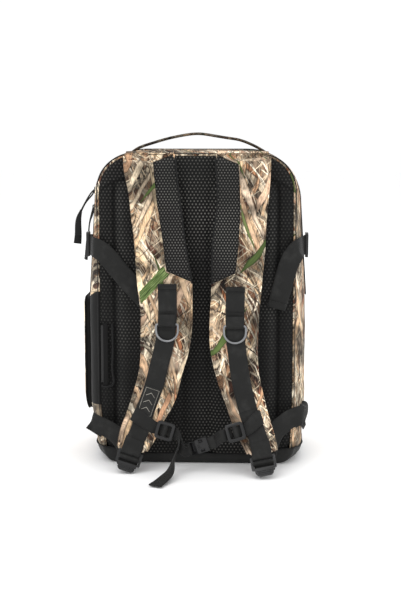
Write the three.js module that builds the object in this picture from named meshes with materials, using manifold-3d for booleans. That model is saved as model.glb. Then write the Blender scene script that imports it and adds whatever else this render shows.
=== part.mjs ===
// Tackle backpack: a camouflage daypack with a clamshell lid, padded shoulder
// straps, a sternum strap with a side-release buckle, D-rings, ladder-lock
// adjusters, a haul handle and zipped pockets.
//
// Frame: millimetres, +Z up. The origin is on the floor plane, under the middle
// of the base. The padded back panel faces -Y, the lid and its pocket face +Y,
// and -X is the side that carries the zip sliders and the side pocket.

import * as THREE from 'three';
import Module from 'manifold-3d';
import { mergeVertices } from 'three/addons/utils/BufferGeometryUtils.js';

// ---------------------------------------------------------------- dimensions
const BACK_Y = -92;            // outer face of the back panel
const PANEL_T = 12;            // thickness of the padded back panel
const SHELL_Y0 = -79.6;        // rear edge of the gusset, just behind the panel
const ZIP_Y = -30;             // plane of the main zip
const FRONT_Y = 92;            // outer face of the front wall
const WALL = 3;                // thickness of a lined fabric wall
const HALF_W = [[-92, 150], [-78, 158], [-60, 165.4], [-45, 168.2], [-30, 168], [0, 169], [40, 167.5], [70, 162], [88, 151], [92, 149]];
const TOP_Z = [[-92, 475], [-78, 480.6], [-60, 483.2], [-45, 484.2], [-30, 482.8], [0, 480.8], [40, 476.5], [70, 468.5], [88, 457.8], [92, 456]];
const R_TOP = [[-92, 52], [-78, 64], [-60, 78], [-45, 82], [-30, 80], [0, 76], [40, 64], [70, 50], [88, 44], [92, 43]]; // radius of the top corners, by depth
const TAPER = [256, 410, 10];  // between these heights each side leans in by this much
const R_BASE = 28;             // radius of the bottom corners
const LID_Z = 256;             // fold line of the lid on the front wall
const WEB = 30;                // width of the harness webbing
const WEB_T = 1.6;             // thickness of the webbing
const STRAP_T = 12;            // thickness of a shoulder strap
const RING_WIRE = 2.7;         // wire diameter of a D-ring
const RING_W = 36;             // outer width of a D-ring
const RING_H = 29;             // outer height of a D-ring
const STRAP_PIVOT = [-95, 476];// y, z of the line on which the straps swing
const GAP = 0.3;

// ------------------------------------------------------------------- helpers
const wasm = await Module();
wasm.setup();
const group = new THREE.Group();
const V = (x, y, z) => new THREE.Vector3(x, y, z);

const lerpTable = (t, x) => {
  if (x <= t[0][0]) return t[0][1];
  for (let i = 1; i < t.length; i++) {
    if (x <= t[i][0]) {
      const f = (x - t[i - 1][0]) / (t[i][0] - t[i - 1][0]);
      return t[i - 1][1] + f * (t[i][1] - t[i - 1][1]);
    }
  }
  return t[t.length - 1][1];
};
const halfW = (y) => lerpTable(HALF_W, y);
const topZ = (y) => lerpTable(TOP_Z, y);
const rTop = (y) => lerpTable(R_TOP, y);
const taper = (y, z) => {
  const f = Math.min(1, Math.max(0, (z - TAPER[0]) / (TAPER[1] - TAPER[0])));
  const g = lerpTable([[-88, 0], [-60, 1], [40, 1], [84, 0]], y);
  return TAPER[2] * f * g;
};

const finishes = {
  camo: { color: 0x8a6f4e, roughness: 0.86, metalness: 0 },
  mesh: { color: 0x1b1b1c, roughness: 0.92, metalness: 0 },
  webbing: { color: 0x242423, roughness: 0.8, metalness: 0 },
  base: { color: 0x232322, roughness: 0.7, metalness: 0 },
  lining: { color: 0x3a3834, roughness: 0.9, metalness: 0 },
  plastic: { color: 0x1a1a1b, roughness: 0.42, metalness: 0 },
  steel: { color: 0x55575a, roughness: 0.32, metalness: 0.9 },
  zip: { color: 0x151515, roughness: 0.6, metalness: 0 },
  sheet: { color: 0xd8d6cf, roughness: 0.6, metalness: 0 },
  foam: { color: 0x4a4a48, roughness: 0.95, metalness: 0 },
};
const mats = {};
for (const [k, v] of Object.entries(finishes)) mats[k] = new THREE.MeshStandardMaterial(v);

const orient = (g) => {
  // A closed body whose faces point inwards is turned inside out.
  const p = g.getAttribute('position');
  const ix = g.index.array;
  let v = 0;
  const a = V(0, 0, 0), b = V(0, 0, 0), c = V(0, 0, 0);
  for (let i = 0; i < ix.length; i += 3) {
    a.fromBufferAttribute(p, ix[i]);
    b.fromBufferAttribute(p, ix[i + 1]);
    c.fromBufferAttribute(p, ix[i + 2]);
    v += a.dot(b.cross(c));
  }
  if (v < 0) {
    for (let i = 0; i < ix.length; i += 3) [ix[i], ix[i + 1]] = [ix[i + 1], ix[i]];
  }
  return g;
};
const clean = (g) => {
  const h = g.clone();
  for (const k of Object.keys(h.attributes)) if (k !== 'position') h.deleteAttribute(k);
  return orient(mergeVertices(h, 1e-4));
};
const add = (name, geometry, finish, parent = group) => {
  const g = clean(geometry);
  g.computeVertexNormals();
  const m = new THREE.Mesh(g, mats[finish]);
  m.name = name;
  parent.add(m);
  return m;
};
const raw = (points, tris) => {
  const g = new THREE.BufferGeometry();
  g.setAttribute('position', new THREE.Float32BufferAttribute(points.flatMap((p) => [p.x, p.y, p.z]), 3));
  g.setIndex(tris);
  return g;
};

// A closed plate between two grids of points, outer[i][j] and inner[i][j].
const plate = (outer, inner) => {
  const ni = outer.length, nj = outer[0].length;
  const pts = [...outer.flat(), ...inner.flat()];
  const o = (i, j) => i * nj + j, n = (i, j) => ni * nj + i * nj + j;
  const t = [];
  const quad = (a, b, c, d) => t.push(a, b, c, a, c, d);
  for (let i = 0; i < ni - 1; i++) for (let j = 0; j < nj - 1; j++) {
    quad(o(i, j), o(i + 1, j), o(i + 1, j + 1), o(i, j + 1));
    quad(n(i, j), n(i, j + 1), n(i + 1, j + 1), n(i + 1, j));
  }
  for (let i = 0; i < ni - 1; i++) {
    quad(o(i, 0), n(i, 0), n(i + 1, 0), o(i + 1, 0));
    quad(o(i, nj - 1), o(i + 1, nj - 1), n(i + 1, nj - 1), n(i, nj - 1));
  }
  for (let j = 0; j < nj - 1; j++) {
    quad(o(0, j), o(0, j + 1), n(0, j + 1), n(0, j));
    quad(o(ni - 1, j), n(ni - 1, j), n(ni - 1, j + 1), o(ni - 1, j + 1));
  }
  return raw(pts, t);
};

// A closed band through stations { c: centre, w: unit width direction, hw: half
// width }, with thickness t, half of it on each side of the centre line.
const band = (stations, t) => {
  const s = stations.map((q, i) => {
    const p = stations[Math.max(0, i - 1)].c, r = stations[Math.min(stations.length - 1, i + 1)].c;
    const tan = r.clone().sub(p).normalize();
    const w = q.w.clone().normalize();
    const n = q.n ? q.n.clone().normalize() : w.clone().cross(tan).normalize();
    return { c: q.c, w, n, hw: q.hw };
  });
  const outer = s.map((q) => [-1, 1].map((k) => q.c.clone().addScaledVector(q.w, k * q.hw).addScaledVector(q.n, t / 2)));
  const inner = s.map((q) => [-1, 1].map((k) => q.c.clone().addScaledVector(q.w, k * q.hw).addScaledVector(q.n, -t / 2)));
  return plate(outer, inner);
};

const roundRect = (w, h, r, cx = 0, cy = 0) => {
  const s = new THREE.Shape();
  const x0 = cx - w / 2, x1 = cx + w / 2, y0 = cy - h / 2, y1 = cy + h / 2;
  s.moveTo(x0 + r, y0);
  s.lineTo(x1 - r, y0); s.absarc(x1 - r, y0 + r, r, -Math.PI / 2, 0, false);
  s.lineTo(x1, y1 - r); s.absarc(x1 - r, y1 - r, r, 0, Math.PI / 2, false);
  s.lineTo(x0 + r, y1); s.absarc(x0 + r, y1 - r, r, Math.PI / 2, Math.PI, false);
  s.lineTo(x0, y0 + r); s.absarc(x0 + r, y0 + r, r, Math.PI, Math.PI * 1.5, false);
  return s;
};
const extrude = (shape, depth, curveSegments = 4) =>
  new THREE.ExtrudeGeometry(shape, { depth, bevelEnabled: false, curveSegments });
// A shape drawn in (x, z) and extruded from y0 to y1.
const slab = (shape, y0, y1, curveSegments = 4) => {
  const g = extrude(shape, y1 - y0, curveSegments);
  g.rotateX(Math.PI / 2);          // (x, y, depth) -> (x, -depth, y)
  g.translate(0, y1, 0);
  return g;
};
const toManifold = (g) => {
  const h = clean(g);
  return new wasm.Manifold(new wasm.Mesh({
    numProp: 3,
    vertProperties: new Float32Array(h.getAttribute('position').array),
    triVerts: new Uint32Array(h.index.array),
  }));
};
const fromManifold = (m) => {
  const q = m.getMesh();
  const g = new THREE.BufferGeometry();
  g.setAttribute('position', new THREE.Float32BufferAttribute(Array.from(q.vertProperties), 3));
  g.setIndex(Array.from(q.triVerts));
  return g;
};
const block = (x0, x1, y0, y1, z0, z1) => {
  const g = new THREE.BoxGeometry(x1 - x0, y1 - y0, z1 - z0);
  g.translate((x0 + x1) / 2, (y0 + y1) / 2, (z0 + z1) / 2);
  return g;
};
const cut = (g, ...tools) => {
  let m = toManifold(g);
  for (const t of tools) m = m.subtract(toManifold(t));
  return fromManifold(m);
};

// ------------------------------------------------------- back panel and frame
const panelShape = (half, z0, z1, rt, rb) => {
  const s = new THREE.Shape();
  s.moveTo(-half + rb, z0);
  s.lineTo(half - rb, z0); s.absarc(half - rb, z0 + rb, rb, -Math.PI / 2, 0, false);
  s.lineTo(half, z1 - rt); s.absarc(half - rt, z1 - rt, rt, 0, Math.PI / 2, false);
  s.lineTo(-half + rt, z1); s.absarc(-half + rt, z1 - rt, rt, Math.PI / 2, Math.PI, false);
  s.lineTo(-half, z0 + rb); s.absarc(-half + rb, z0 + rb, rb, Math.PI, Math.PI * 1.5, false);
  return s;
};
add('back_panel', slab(panelShape(150, 1.5, 475.5, 54, R_BASE), BACK_Y, BACK_Y + PANEL_T, 6), 'mesh');
add('frame_sheet', slab(panelShape(138, 12, 455, 40, 24), -79.4, -77.6, 4), 'sheet');

// The laptop sleeve: a padded front with a welt on three sides, open at the top
// and towards the frame sheet.
add('laptop_sleeve', cut(
  block(-125, 125, -77.3, -56, 12, 300),
  block(-120, 120, -78, -60, 17, 301),
), 'lining');

// -------------------------------------------------------------- shell walls
const ROWS_REAR = [-79.6, -70, -60, -45, -32.8];
const ROWS_LID = [-27.2, -14, 0, 20, 40, 55, 70, 87.6];
const ROWS_LOW = [-79.6, -60, -30, 0, 40, 70, 87.6];

// side wall, s = -1 for the left and +1 for the right
const sideWall = (s, rows, z0, n) => {
  const mk = (inset) => Array.from({ length: n + 1 }, (_, i) => rows.map((y) => {
    const z1 = topZ(y) - rTop(y) - GAP / 2;
    const z = z0 + (z1 - z0) * i / n;
    return V(s * (halfW(y) - taper(y, z) - inset), y, z);
  }));
  return plate(mk(0), mk(WALL));
};
// arch over both top corners
const archPoint = (y, k, inset) => {
  // k runs 0..1 from the left spring, over the top, to the right spring
  const z = topZ(y), r = rTop(y), a = halfW(y) - taper(y, z - r);
  const arc = 0.3;
  if (k < arc) {
    const t = Math.PI - (k / arc) * Math.PI / 2;
    return V(-a + r + (r - inset) * Math.cos(t), y, z - r + (r - inset) * Math.sin(t));
  }
  if (k > 1 - arc) {
    const t = Math.PI / 2 - ((k - 1 + arc) / arc) * Math.PI / 2;
    return V(a - r + (r - inset) * Math.cos(t), y, z - r + (r - inset) * Math.sin(t));
  }
  const f = (k - arc) / (1 - 2 * arc);
  return V((-a + r) * (1 - f) + (a - r) * f, y, z - inset);
};
const ARCH_K = [0, 0.075, 0.15, 0.225, 0.3, 0.43, 0.57, 0.7, 0.775, 0.85, 0.925, 1];
const arch = (rows, out, inn) => plate(
  ARCH_K.map((k) => rows.map((y) => archPoint(y, k, out))),
  ARCH_K.map((k) => rows.map((y) => archPoint(y, k, inn))),
);
add('gusset_left', sideWall(-1, ROWS_REAR, LID_Z + 0.3, 3), 'camo');
add('gusset_right', sideWall(1, ROWS_REAR, LID_Z + 0.3, 3), 'camo');
add('gusset_top', arch(ROWS_REAR, 0, WALL), 'camo');

const lowWall = (s) => {
  const mk = (inset) => [0, 0.25, 0.5, 0.75, 1, 1.5, 2].map((k) => ROWS_LOW.map((y) => {
    const a = halfW(y);
    if (k <= 1) {
      const t = (k - 1) * Math.PI / 2;
      return V(s * (a - R_BASE + (R_BASE - inset) * Math.cos(t)), y, R_BASE + (R_BASE - inset) * Math.sin(t));
    }
    return V(s * (a - inset), y, R_BASE + (LID_Z - 0.3 - R_BASE) * (k - 1));
  }));
  return plate(mk(0), mk(WALL));
};
add('side_wall_left', lowWall(-1), 'camo');
add('side_wall_right', lowWall(1), 'camo');
{
  const mk = (z) => [-1, 1].map((s) => ROWS_LOW.map((y) => V(s * (halfW(y) - R_BASE - GAP), y, z)));
  add('base_panel', plate(mk(4), mk(0)), 'base');
}
add('front_wall', slab(panelShape(149, 2, LID_Z - 0.3, 2, R_BASE), 88, FRONT_Y, 4), 'camo');
{
  const s = new THREE.Shape();
  const z0 = LID_Z + 0.5, z1 = 456, rt = 43;
  s.moveTo(-149, z0); s.lineTo(149, z0);
  s.lineTo(149, z1 - rt); s.absarc(149 - rt, z1 - rt, rt, 0, Math.PI / 2, false);
  s.lineTo(-149 + rt, z1); s.absarc(-149 + rt, z1 - rt, rt, Math.PI / 2, Math.PI, false);
  s.lineTo(-149, z0);
  add('lid_front', slab(s, 88, FRONT_Y, 5), 'camo');
}
add('lid_left', sideWall(-1, ROWS_LID, LID_Z + 0.5, 3), 'camo');
add('lid_right', sideWall(1, ROWS_LID, LID_Z + 0.5, 3), 'camo');
add('lid_top', arch(ROWS_LID, 0, WALL), 'camo');

// The two halves of the main zip, each a narrow coil along the open edges.
const zipPath = (y, inset) => {
  const left = [LID_Z + 2, 300, 380].map((z) => V(-(halfW(y) - taper(y, z) - inset), y, z));
  const over = ARCH_K.map((k) => archPoint(y, k, inset));
  const right = [380, 300, LID_Z + 2].map((z) => V(halfW(y) - taper(y, z) - inset, y, z));
  return [...left, ...over, ...right];
};
const zipHalf = (y0, y1) => {
  const a0 = zipPath(y0, 0.2), a1 = zipPath(y1, 0.2), b0 = zipPath(y0, 2.4), b1 = zipPath(y1, 2.4);
  return plate(a0.map((p, i) => [p, a1[i]]), b0.map((p, i) => [p, b1[i]]));
};
add('zip_track_rear', zipHalf(ZIP_Y - 2.5, ZIP_Y - 0.15), 'zip');
add('zip_track_lid', zipHalf(ZIP_Y + 0.15, ZIP_Y + 2.5), 'zip');

// ------------------------------------------------------------------ pockets
// A pocket is a cap with a rounded outline, open towards the wall it is sewn to.
const LEFT_POCKET = { y0: -14, y1: 60, z0: 66, z1: 250, out: 183.5 };
{
  const { y0, y1, z0, z1, out } = LEFT_POCKET;
  const ring = (x, d) => {
    // rounded rectangle in (y, z), inset by d
    const pts = [];
    const r = 14 - d * 0.5;
    const cs = [[y1 - d - r, z1 - d - r, 0], [y0 + d + r, z1 - d - r, 90], [y0 + d + r, z0 + d + r, 180], [y1 - d - r, z0 + d + r, 270]];
    for (const [cy, cz, a0] of cs) for (const a of [0, 45, 90]) {
      const t = (a0 + a) * Math.PI / 180;
      pts.push(V(x, cy + r * Math.cos(t), cz + r * Math.sin(t)));
    }
    return pts;
  };
  const loops = [ring(-170.6, 0), ring(-178, 0), ring(-out + 1.5, 4), ring(-out, 12)];
  const inner = [ring(-170.6, 3), ring(-177, 3.5), ring(-out + 4, 7), ring(-out + 3, 13)];
  const n = 12;
  const pts = [...loops.flat(), V(-out, (y0 + y1) / 2, (z0 + z1) / 2), ...inner.flat(), V(-out + 3, (y0 + y1) / 2, (z0 + z1) / 2)];
  const t = [];
  const base2 = loops.length * n + 1;
  for (let k = 0; k < 3; k++) for (let i = 0; i < n; i++) {
    const j = (i + 1) % n;
    const a = k * n + i, b = k * n + j, c = (k + 1) * n + j, d = (k + 1) * n + i;
    t.push(a, b, c, a, c, d);
    t.push(base2 + a, base2 + c, base2 + b, base2 + a, base2 + d, base2 + c);
  }
  for (let i = 0; i < n; i++) {
    const j = (i + 1) % n;
    t.push(3 * n + i, 3 * n + j, 4 * n);
    t.push(base2 + 3 * n + j, base2 + 3 * n + i, base2 + 4 * n);
    t.push(j, i, base2 + i, j, base2 + i, base2 + j);
  }
  add('side_pocket', raw(pts, t), 'camo');
}
const frontCap = (half, z0, z1, depth, wall, openTop) => {
  const s = roundRect(2 * half, z1 - z0, 16, 0, (z0 + z1) / 2);
  const g = slab(s, FRONT_Y + GAP, FRONT_Y + GAP + depth, 3);
  const hollow = slab(
    roundRect(2 * (half - wall), z1 - z0 - 2 * wall + (openTop ? 40 : 0), 12, 0, (z0 + z1) / 2 + (openTop ? 20 : 0)),
    FRONT_Y - 1, FRONT_Y + GAP + depth - wall, 3);
  return cut(g, hollow);
};
add('lid_pocket', frontCap(118, 286, 418, 17, 3, false), 'camo');
add('front_slip_pocket', frontCap(124, 62, 232, 15, 3, true), 'camo');

// -------------------------------------------------------- shoulder straps
// Each station: outer edge and inner edge of the face that lies on the chest.
const LEFT = [
  [[-106.6, -110.0, 474], [-31, -110.0, 474]],
  [[-104.8, -111.5, 449.6], [-28.5, -111.5, 446.7]],
  [[-99.4, -113.2, 424.4], [-25.0, -113.2, 417.2]],
  [[-95.5, -115.4, 391.1], [-21.2, -115.4, 387.6]],
  [[-92.1, -117.4, 365.1], [-17.4, -117.4, 357.9]],
  [[-89.1, -119.6, 335.3], [-13.2, -119.6, 328.2]],
  [[-86.5, -122.2, 293.5], [-6.7, -122.2, 293.9]],
  [[-83.6, -123.3, 266.5], [-5.8, -123.3, 263.9]],
  [[-80.6, -124.5, 237.8], [-5.7, -124.5, 238.3]],
  [[-80.7, -125.6, 206.5], [-6.8, -125.6, 212.6]],
  [[-81.1, -126.8, 177.2], [-12.0, -126.8, 179.2]],
  [[-84.6, -128.1, 146.7], [-21.1, -128.1, 148.0]],
  [[-92.3, -129.2, 119.1], [-28.6, -129.2, 117.4]],
  [[-100.7, -130.9, 93.1], [-38.5, -130.9, 93.7]],
  [[-108.9, -133.5, 72.0], [-52.0, -133.5, 71.0]],
  [[-114.8, -138.0, 51.1], [-64.6, -138.4, 44.4]],
  [[-116.5, -141.6, 39.5], [-74.0, -142.6, 31.5]],
];
const RIGHT = [
  [[110.8, -110.0, 474], [29.4, -110.0, 474]],
  [[110.2, -111.7, 445.5], [32.2, -111.7, 445.4]],
  [[107.8, -113.8, 413.0], [33.7, -113.8, 411.4]],
  [[105.3, -115.6, 387.9], [31.3, -115.6, 383.3]],
  [[103.7, -117.7, 358.3], [27.8, -117.7, 356.6]],
  [[102.7, -119.6, 333.1], [26.1, -119.6, 329.8]],
  [[99.3, -122.1, 297.4], [25.9, -122.1, 295.6]],
  [[97.1, -123.2, 269.0], [25.4, -123.2, 268.6]],
  [[94.9, -124.3, 243.4], [24.0, -124.3, 243.0]],
  [[93.3, -125.5, 213.3], [23.1, -125.5, 212.8]],
  [[92.8, -127.0, 178.6], [25.0, -127.0, 181.1]],
  [[94.9, -128.5, 149.8], [31.7, -128.5, 150.8]],
  [[100.5, -129.9, 122.5], [40.1, -129.9, 123.5]],
  [[107.3, -132.1, 96.3], [50.0, -132.1, 97.8]],
  [[114.3, -138.8, 74.0], [59.3, -139.0, 73.5]],
  [[120.9, -146.7, 53.0], [71.5, -148.4, 49.8]],
  [[123.4, -154.0, 39.5], [81.0, -155.2, 33.0]],
];
// x of the centre line of the webbing that runs down the middle of each strap
const WEB_X = {
  left: [[284, -41.8], [261, -41.3], [231, -41.5], [213, -43], [195, -45.7], [162, -53.8], [134, -60.8], [109, -69.3], [86.5, -76.8], [62, -83.6], [47.7, -90.2], [33, -95.3]],
  right: [[284, 60.5], [256, 60.2], [234, 60], [212, 60.3], [190, 62.3], [171, 64.8], [143, 68.8], [115, 75.1], [84, 83.6], [65, 91.6], [50, 96.9], [34, 101.5]],
};
const webX = (side, z) => lerpTable([...WEB_X[side]].sort((a, b) => a[0] - b[0]), z);
const vec = (p) => V(p[0], p[1], p[2]);
const strapFrames = (list) => list.map(([o, i], k) => {
  const O = vec(o), I = vec(i);
  const mid = (q) => vec(list[q][0]).add(vec(list[q][1])).multiplyScalar(0.5);
  const tan = mid(Math.min(k + 1, list.length - 1)).sub(mid(Math.max(k - 1, 0))).normalize();
  const w = O.clone().sub(I).normalize();
  const n = w.clone().cross(tan).normalize();
  if (n.y > 0) n.negate();                       // n points away from the pack
  return { O, I, w, n, tan, mid: mid(k) };
});
const strapSolid = (frames) => plate(
  frames.map((f) => [f.O, f.I]),
  frames.map((f) => [f.O.clone().addScaledVector(f.n, -STRAP_T), f.I.clone().addScaledVector(f.n, -STRAP_T)]),
);
const FL = strapFrames(LEFT), FR = strapFrames(RIGHT);

const strapWeb = (frames, side, k0, k1) => band(frames.slice(k0, k1).map((f) => {
  const x = webX(side, f.mid.z);
  const t = (x - f.O.x) / (f.I.x - f.O.x);
  const c = f.O.clone().lerp(f.I, t).addScaledVector(f.n, 0.5 + WEB_T / 2);
  return { c, w: f.w, n: f.n, hw: WEB / 2 - 0.5 };
}), WEB_T);

const harness = {};
for (const [side, frames, s] of [['left', FL, -1], ['right', FR, 1]]) {
  add(`shoulder_strap_${side}`, strapSolid(frames), 'camo');
  add(`strap_webbing_${side}`, strapWeb(frames, side, 6, 17), 'webbing');
  harness[side] = { frames, s };
  // sewn anchor between the back panel and the top of the strap
  const x0 = s < 0 ? -104 : 34, x1 = s < 0 ? -34 : 107;
  add(`strap_anchor_${side}`, block(x0, x1, -97.2, BACK_Y - GAP, 452, 470), 'camo');
}

// ------------------------------------------------------------- D-rings
const ringBody = (cx, cy, cz) => {
  // straight bar along X at the top, round bow hanging below it
  const r = RING_WIRE / 2, w = RING_W / 2 - r, h = RING_H - 2 * r;
  const pts = [];
  pts.push([-w, 0], [w, 0], [w, -h * 0.36]);
  for (const a of [25, 50, 70, 90, 110, 130, 155]) {
    const t = a * Math.PI / 180;
    pts.push([w * Math.cos(t), -h * 0.36 - (h * 0.64) * Math.sin(t)]);
  }
  pts.push([-w, -h * 0.36]);
  const n = pts.length, m = 6;
  const P = [];
  for (let i = 0; i < n; i++) {
    const a = pts[(i + n - 1) % n], b = pts[i], c = pts[(i + 1) % n];
    const d0 = new THREE.Vector2(b[0] - a[0], b[1] - a[1]).normalize();
    const d1 = new THREE.Vector2(c[0] - b[0], c[1] - b[1]).normalize();
    const nx = -(d0.y + d1.y), nz = d0.x + d1.x;
    const L = Math.hypot(nx, nz);
    const k = 1 / Math.max(0.6, Math.sqrt((1 + d0.dot(d1)) / 2));
    for (let j = 0; j < m; j++) {
      const t = (j + 0.5) / m * 2 * Math.PI;
      P.push(V(cx + b[0] + nx / L * r * Math.cos(t) * k, cy + r * Math.sin(t), cz + b[1] + nz / L * r * Math.cos(t) * k));
    }
  }
  const T = [];
  for (let i = 0; i < n; i++) for (let j = 0; j < m; j++) {
    const a = i * m + j, b = i * m + (j + 1) % m, c = ((i + 1) % n) * m + (j + 1) % m, d = ((i + 1) % n) * m + j;
    T.push(a, b, c, a, c, d);
  }
  return raw(P, T);
};
// A hem of webbing sewn round the bar: a drop-shaped sleeve along X.
const hemLoop = (cx, cy, cz, w) => {
  const s = new THREE.Shape();
  const R = 3.3;
  s.moveTo(-2.2, 12); s.lineTo(-3.2, 4);
  for (const a of [160, 190, 220, 250, 280, 310, 340, 10, 30]) s.lineTo(R * Math.cos(a * Math.PI / 180), R * Math.sin(a * Math.PI / 180));
  s.lineTo(2.3, 12); s.lineTo(-2.2, 12);
  const h = new THREE.Path();
  h.absarc(0, 0, 1.75, 0, Math.PI * 2, true);
  s.holes.push(h);
  const g = extrude(s, w, 5);                     // drawn in (y, z), swept along X
  g.rotateX(Math.PI / 2); g.rotateZ(Math.PI / 2); // x->y, y->z, z->x
  g.translate(cx - w / 2, cy, cz);
  return g;
};
const RINGS = { left: V(-41.8, -130.9, 225), right: V(60, -130.7, 222.5) };
for (const side of ['left', 'right']) {
  const c = RINGS[side];
  add(`d_ring_${side}`, ringBody(c.x, c.y, c.z), 'steel');
  add(`ring_loop_${side}`, hemLoop(c.x, c.y, c.z, 26), 'webbing');
}

// ---------------------------------------------------- ladder-lock adjusters
const lockShape = () => {
  const s = new THREE.Shape();
  s.moveTo(-19, 0); s.lineTo(19, 0); s.lineTo(18.2, -22); s.lineTo(9, -31); s.lineTo(-9, -31); s.lineTo(-18.2, -22); s.lineTo(-19, 0);
  for (const z of [-6.5, -15.5]) {
    const h = new THREE.Path();
    h.moveTo(-15.3, z + 2.4); h.lineTo(-15.3, z - 2.4); h.lineTo(15.3, z - 2.4); h.lineTo(15.3, z + 2.4); h.lineTo(-15.3, z + 2.4);
    s.holes.push(h);
  }
  return s;
};
const LOCK_T = 4;
const placed = (g, origin, ex, ey) => {
  // local x, local y and their normal, moved to a place on the pack
  const ez = ex.clone().cross(ey).normalize();
  const m = new THREE.Matrix4().makeBasis(ex, ez.clone().cross(ex).normalize(), ez);
  m.setPosition(origin);
  g.applyMatrix4(m);
  return g;
};
// top bar centre, direction of the bar, and up along the adjuster
const LOCKS = {
  left: { p: V(-95.2, -144.4, 33.6), bar: V(0.945, -0.02, -0.30), up: V(0.29, 0.30, 0.91) },
  right: { p: V(101.5, -156.5, 31.4), bar: V(0.965, 0.02, 0.20), up: V(-0.17, 0.60, 0.775) },
};
const lockAxes = (side) => {
  const L = LOCKS[side];
  const ex = L.bar.clone().normalize();
  const up = L.up.clone().addScaledVector(ex, -L.up.dot(ex)).normalize();
  const nz = ex.clone().cross(up).normalize();
  return { ex, up, nz, p: L.p };
};
for (const side of ['left', 'right']) {
  const { ex, up, nz, p } = lockAxes(side);
  const g = extrude(lockShape(), LOCK_T, 1);
  g.translate(0, 0, -LOCK_T / 2);
  const o = p.clone().addScaledVector(up, -1.2);
  add(`ladder_lock_${side}`, placed(g, o, ex, up), 'plastic');
}

// --------------------------------------------- lower webbing, loose loops
add('lower_webbing_left', band([
  { c: V(-146.5, -93.7, 52), w: V(0.62, 0, 0.77), hw: 14, n: V(0, -1, 0) },
  { c: V(-156, -97.5, 60), w: V(0.6, 0, 0.8), hw: 14.5 },
  { c: V(-164.5, -101.5, 68), w: V(0.53, 0, 0.85), hw: 14.5, n: V(1, 0, 0) },
  { c: V(-156, -106.5, 65), w: V(0.45, 0, 0.89), hw: 14.5 },
  { c: V(-140, -109.5, 58.5), w: V(0.42, 0, 0.9), hw: 14.5 },
  { c: V(-124, -114, 51), w: V(0.55, 0, 0.83), hw: 14.5 },
  { c: V(-112, -119, 42), w: V(0.78, 0, 0.6), hw: 14 },
  { c: V(-105, -125.5, 31), w: V(0.95, 0, 0.2), hw: 14 },
  { c: V(-102.4, -132, 20), w: V(0.95, 0, -0.28), hw: 14 },
], WEB_T), 'webbing');
add('lower_webbing_right', band([
  { c: V(147, -93.6, 70), w: V(-0.5, 0, 0.86), hw: 13.5, n: V(0, 1, 0) },
  { c: V(157, -94.8, 76), w: V(-0.3, 0, 0.95), hw: 14.5, n: V(0, 1, 0) },
  { c: V(166.5, -96.5, 79), w: V(0, 0, 1), hw: 14.5, n: V(1, 0.2, 0) },
  { c: V(163, -102.5, 81), w: V(-0.3, 0, 0.95), hw: 14.5 },
  { c: V(150, -106.5, 78), w: V(-0.45, 0, 0.89), hw: 14.5 },
  { c: V(136, -112, 70), w: V(-0.5, 0, 0.86), hw: 14.5 },
  { c: V(124, -118, 60), w: V(-0.62, 0, 0.78), hw: 14.5 },
  { c: V(115, -127, 46), w: V(-0.85, 0, 0.5), hw: 14.5 },
  { c: V(109, -139, 29), w: V(-0.98, 0, -0.1), hw: 14 },
  { c: V(106.5, -149, 17), w: V(-0.98, 0, -0.18), hw: 14 },
], WEB_T), 'webbing');

// -------------------------------------- upper side straps over the back panel
const ridge = (y) => halfW(y);
add('upper_webbing_left', band([
  { c: V(-165.6, -50, 338), w: V(0, 0, 1), hw: 14.5, n: V(1, 0.2, 0) },
  { c: V(-162.9, -66, 338), w: V(0.05, 0, 1), hw: 14.5, n: V(1, 0.35, 0) },
  { c: V(-159.6, -82, 337.5), w: V(0.1, 0, 1), hw: 14.5, n: V(0.75, 0.66, 0) },
  { c: V(-154.8, -93.2, 337), w: V(0.1, 0, 1), hw: 14.5, n: V(0.4, 0.9, 0) },
  { c: V(-149, -95.2, 334.5), w: V(0.3, 0, 0.95), hw: 14.5, n: V(0, 1, 0) },
  { c: V(-142, -95.4, 330), w: V(0.48, 0, 0.88), hw: 14.5, n: V(0, 1, 0) },
  { c: V(-120, -96.2, 307), w: V(0.62, 0, 0.78), hw: 14.5, n: V(0, 1, 0) },
  { c: V(-88, -96.6, 272), w: V(0.68, 0, 0.73), hw: 14.5, n: V(0, 1, 0) },
], WEB_T), 'webbing');
add('upper_webbing_right', band([
  { c: V(165.6, -50, 338), w: V(0, 0, 1), hw: 14.5, n: V(-1, 0.2, 0) },
  { c: V(162.9, -66, 338), w: V(-0.05, 0, 1), hw: 14.5, n: V(-1, 0.35, 0) },
  { c: V(159.6, -82, 337.5), w: V(-0.1, 0, 1), hw: 14.5, n: V(-0.75, 0.66, 0) },
  { c: V(154.8, -93.2, 336), w: V(-0.1, 0, 1), hw: 14.5, n: V(-0.4, 0.9, 0) },
  { c: V(150, -95.2, 330), w: V(-0.4, 0, 0.92), hw: 14.5, n: V(0, 1, 0) },
  { c: V(145, -95.4, 322), w: V(-0.7, 0, 0.7), hw: 14.5, n: V(0, 1, 0) },
  { c: V(134, -96.2, 290), w: V(-0.86, 0, 0.5), hw: 14.5, n: V(0, 1, 0) },
  { c: V(122, -96.6, 246), w: V(-0.95, 0, 0.27), hw: 13.5, n: V(0, 1, 0) },
], WEB_T), 'webbing');
// ladder locks of the upper side straps, on the gusset in front of the fold
for (const [side, s] of [['left', -1], ['right', 1]]) {
  const a = 167.1;
  const g = cut(
    block(a, a + 4, -62, -40, 319, 357),
    block(a - 1, a + 5, -56.5, -52.5, 323, 353),
    block(a - 1, a + 5, -49, -45, 323, 353),
  );
  if (s < 0) g.scale(-1, 1, 1);
  add(`side_lock_${side}`, g, 'plastic');
}

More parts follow.
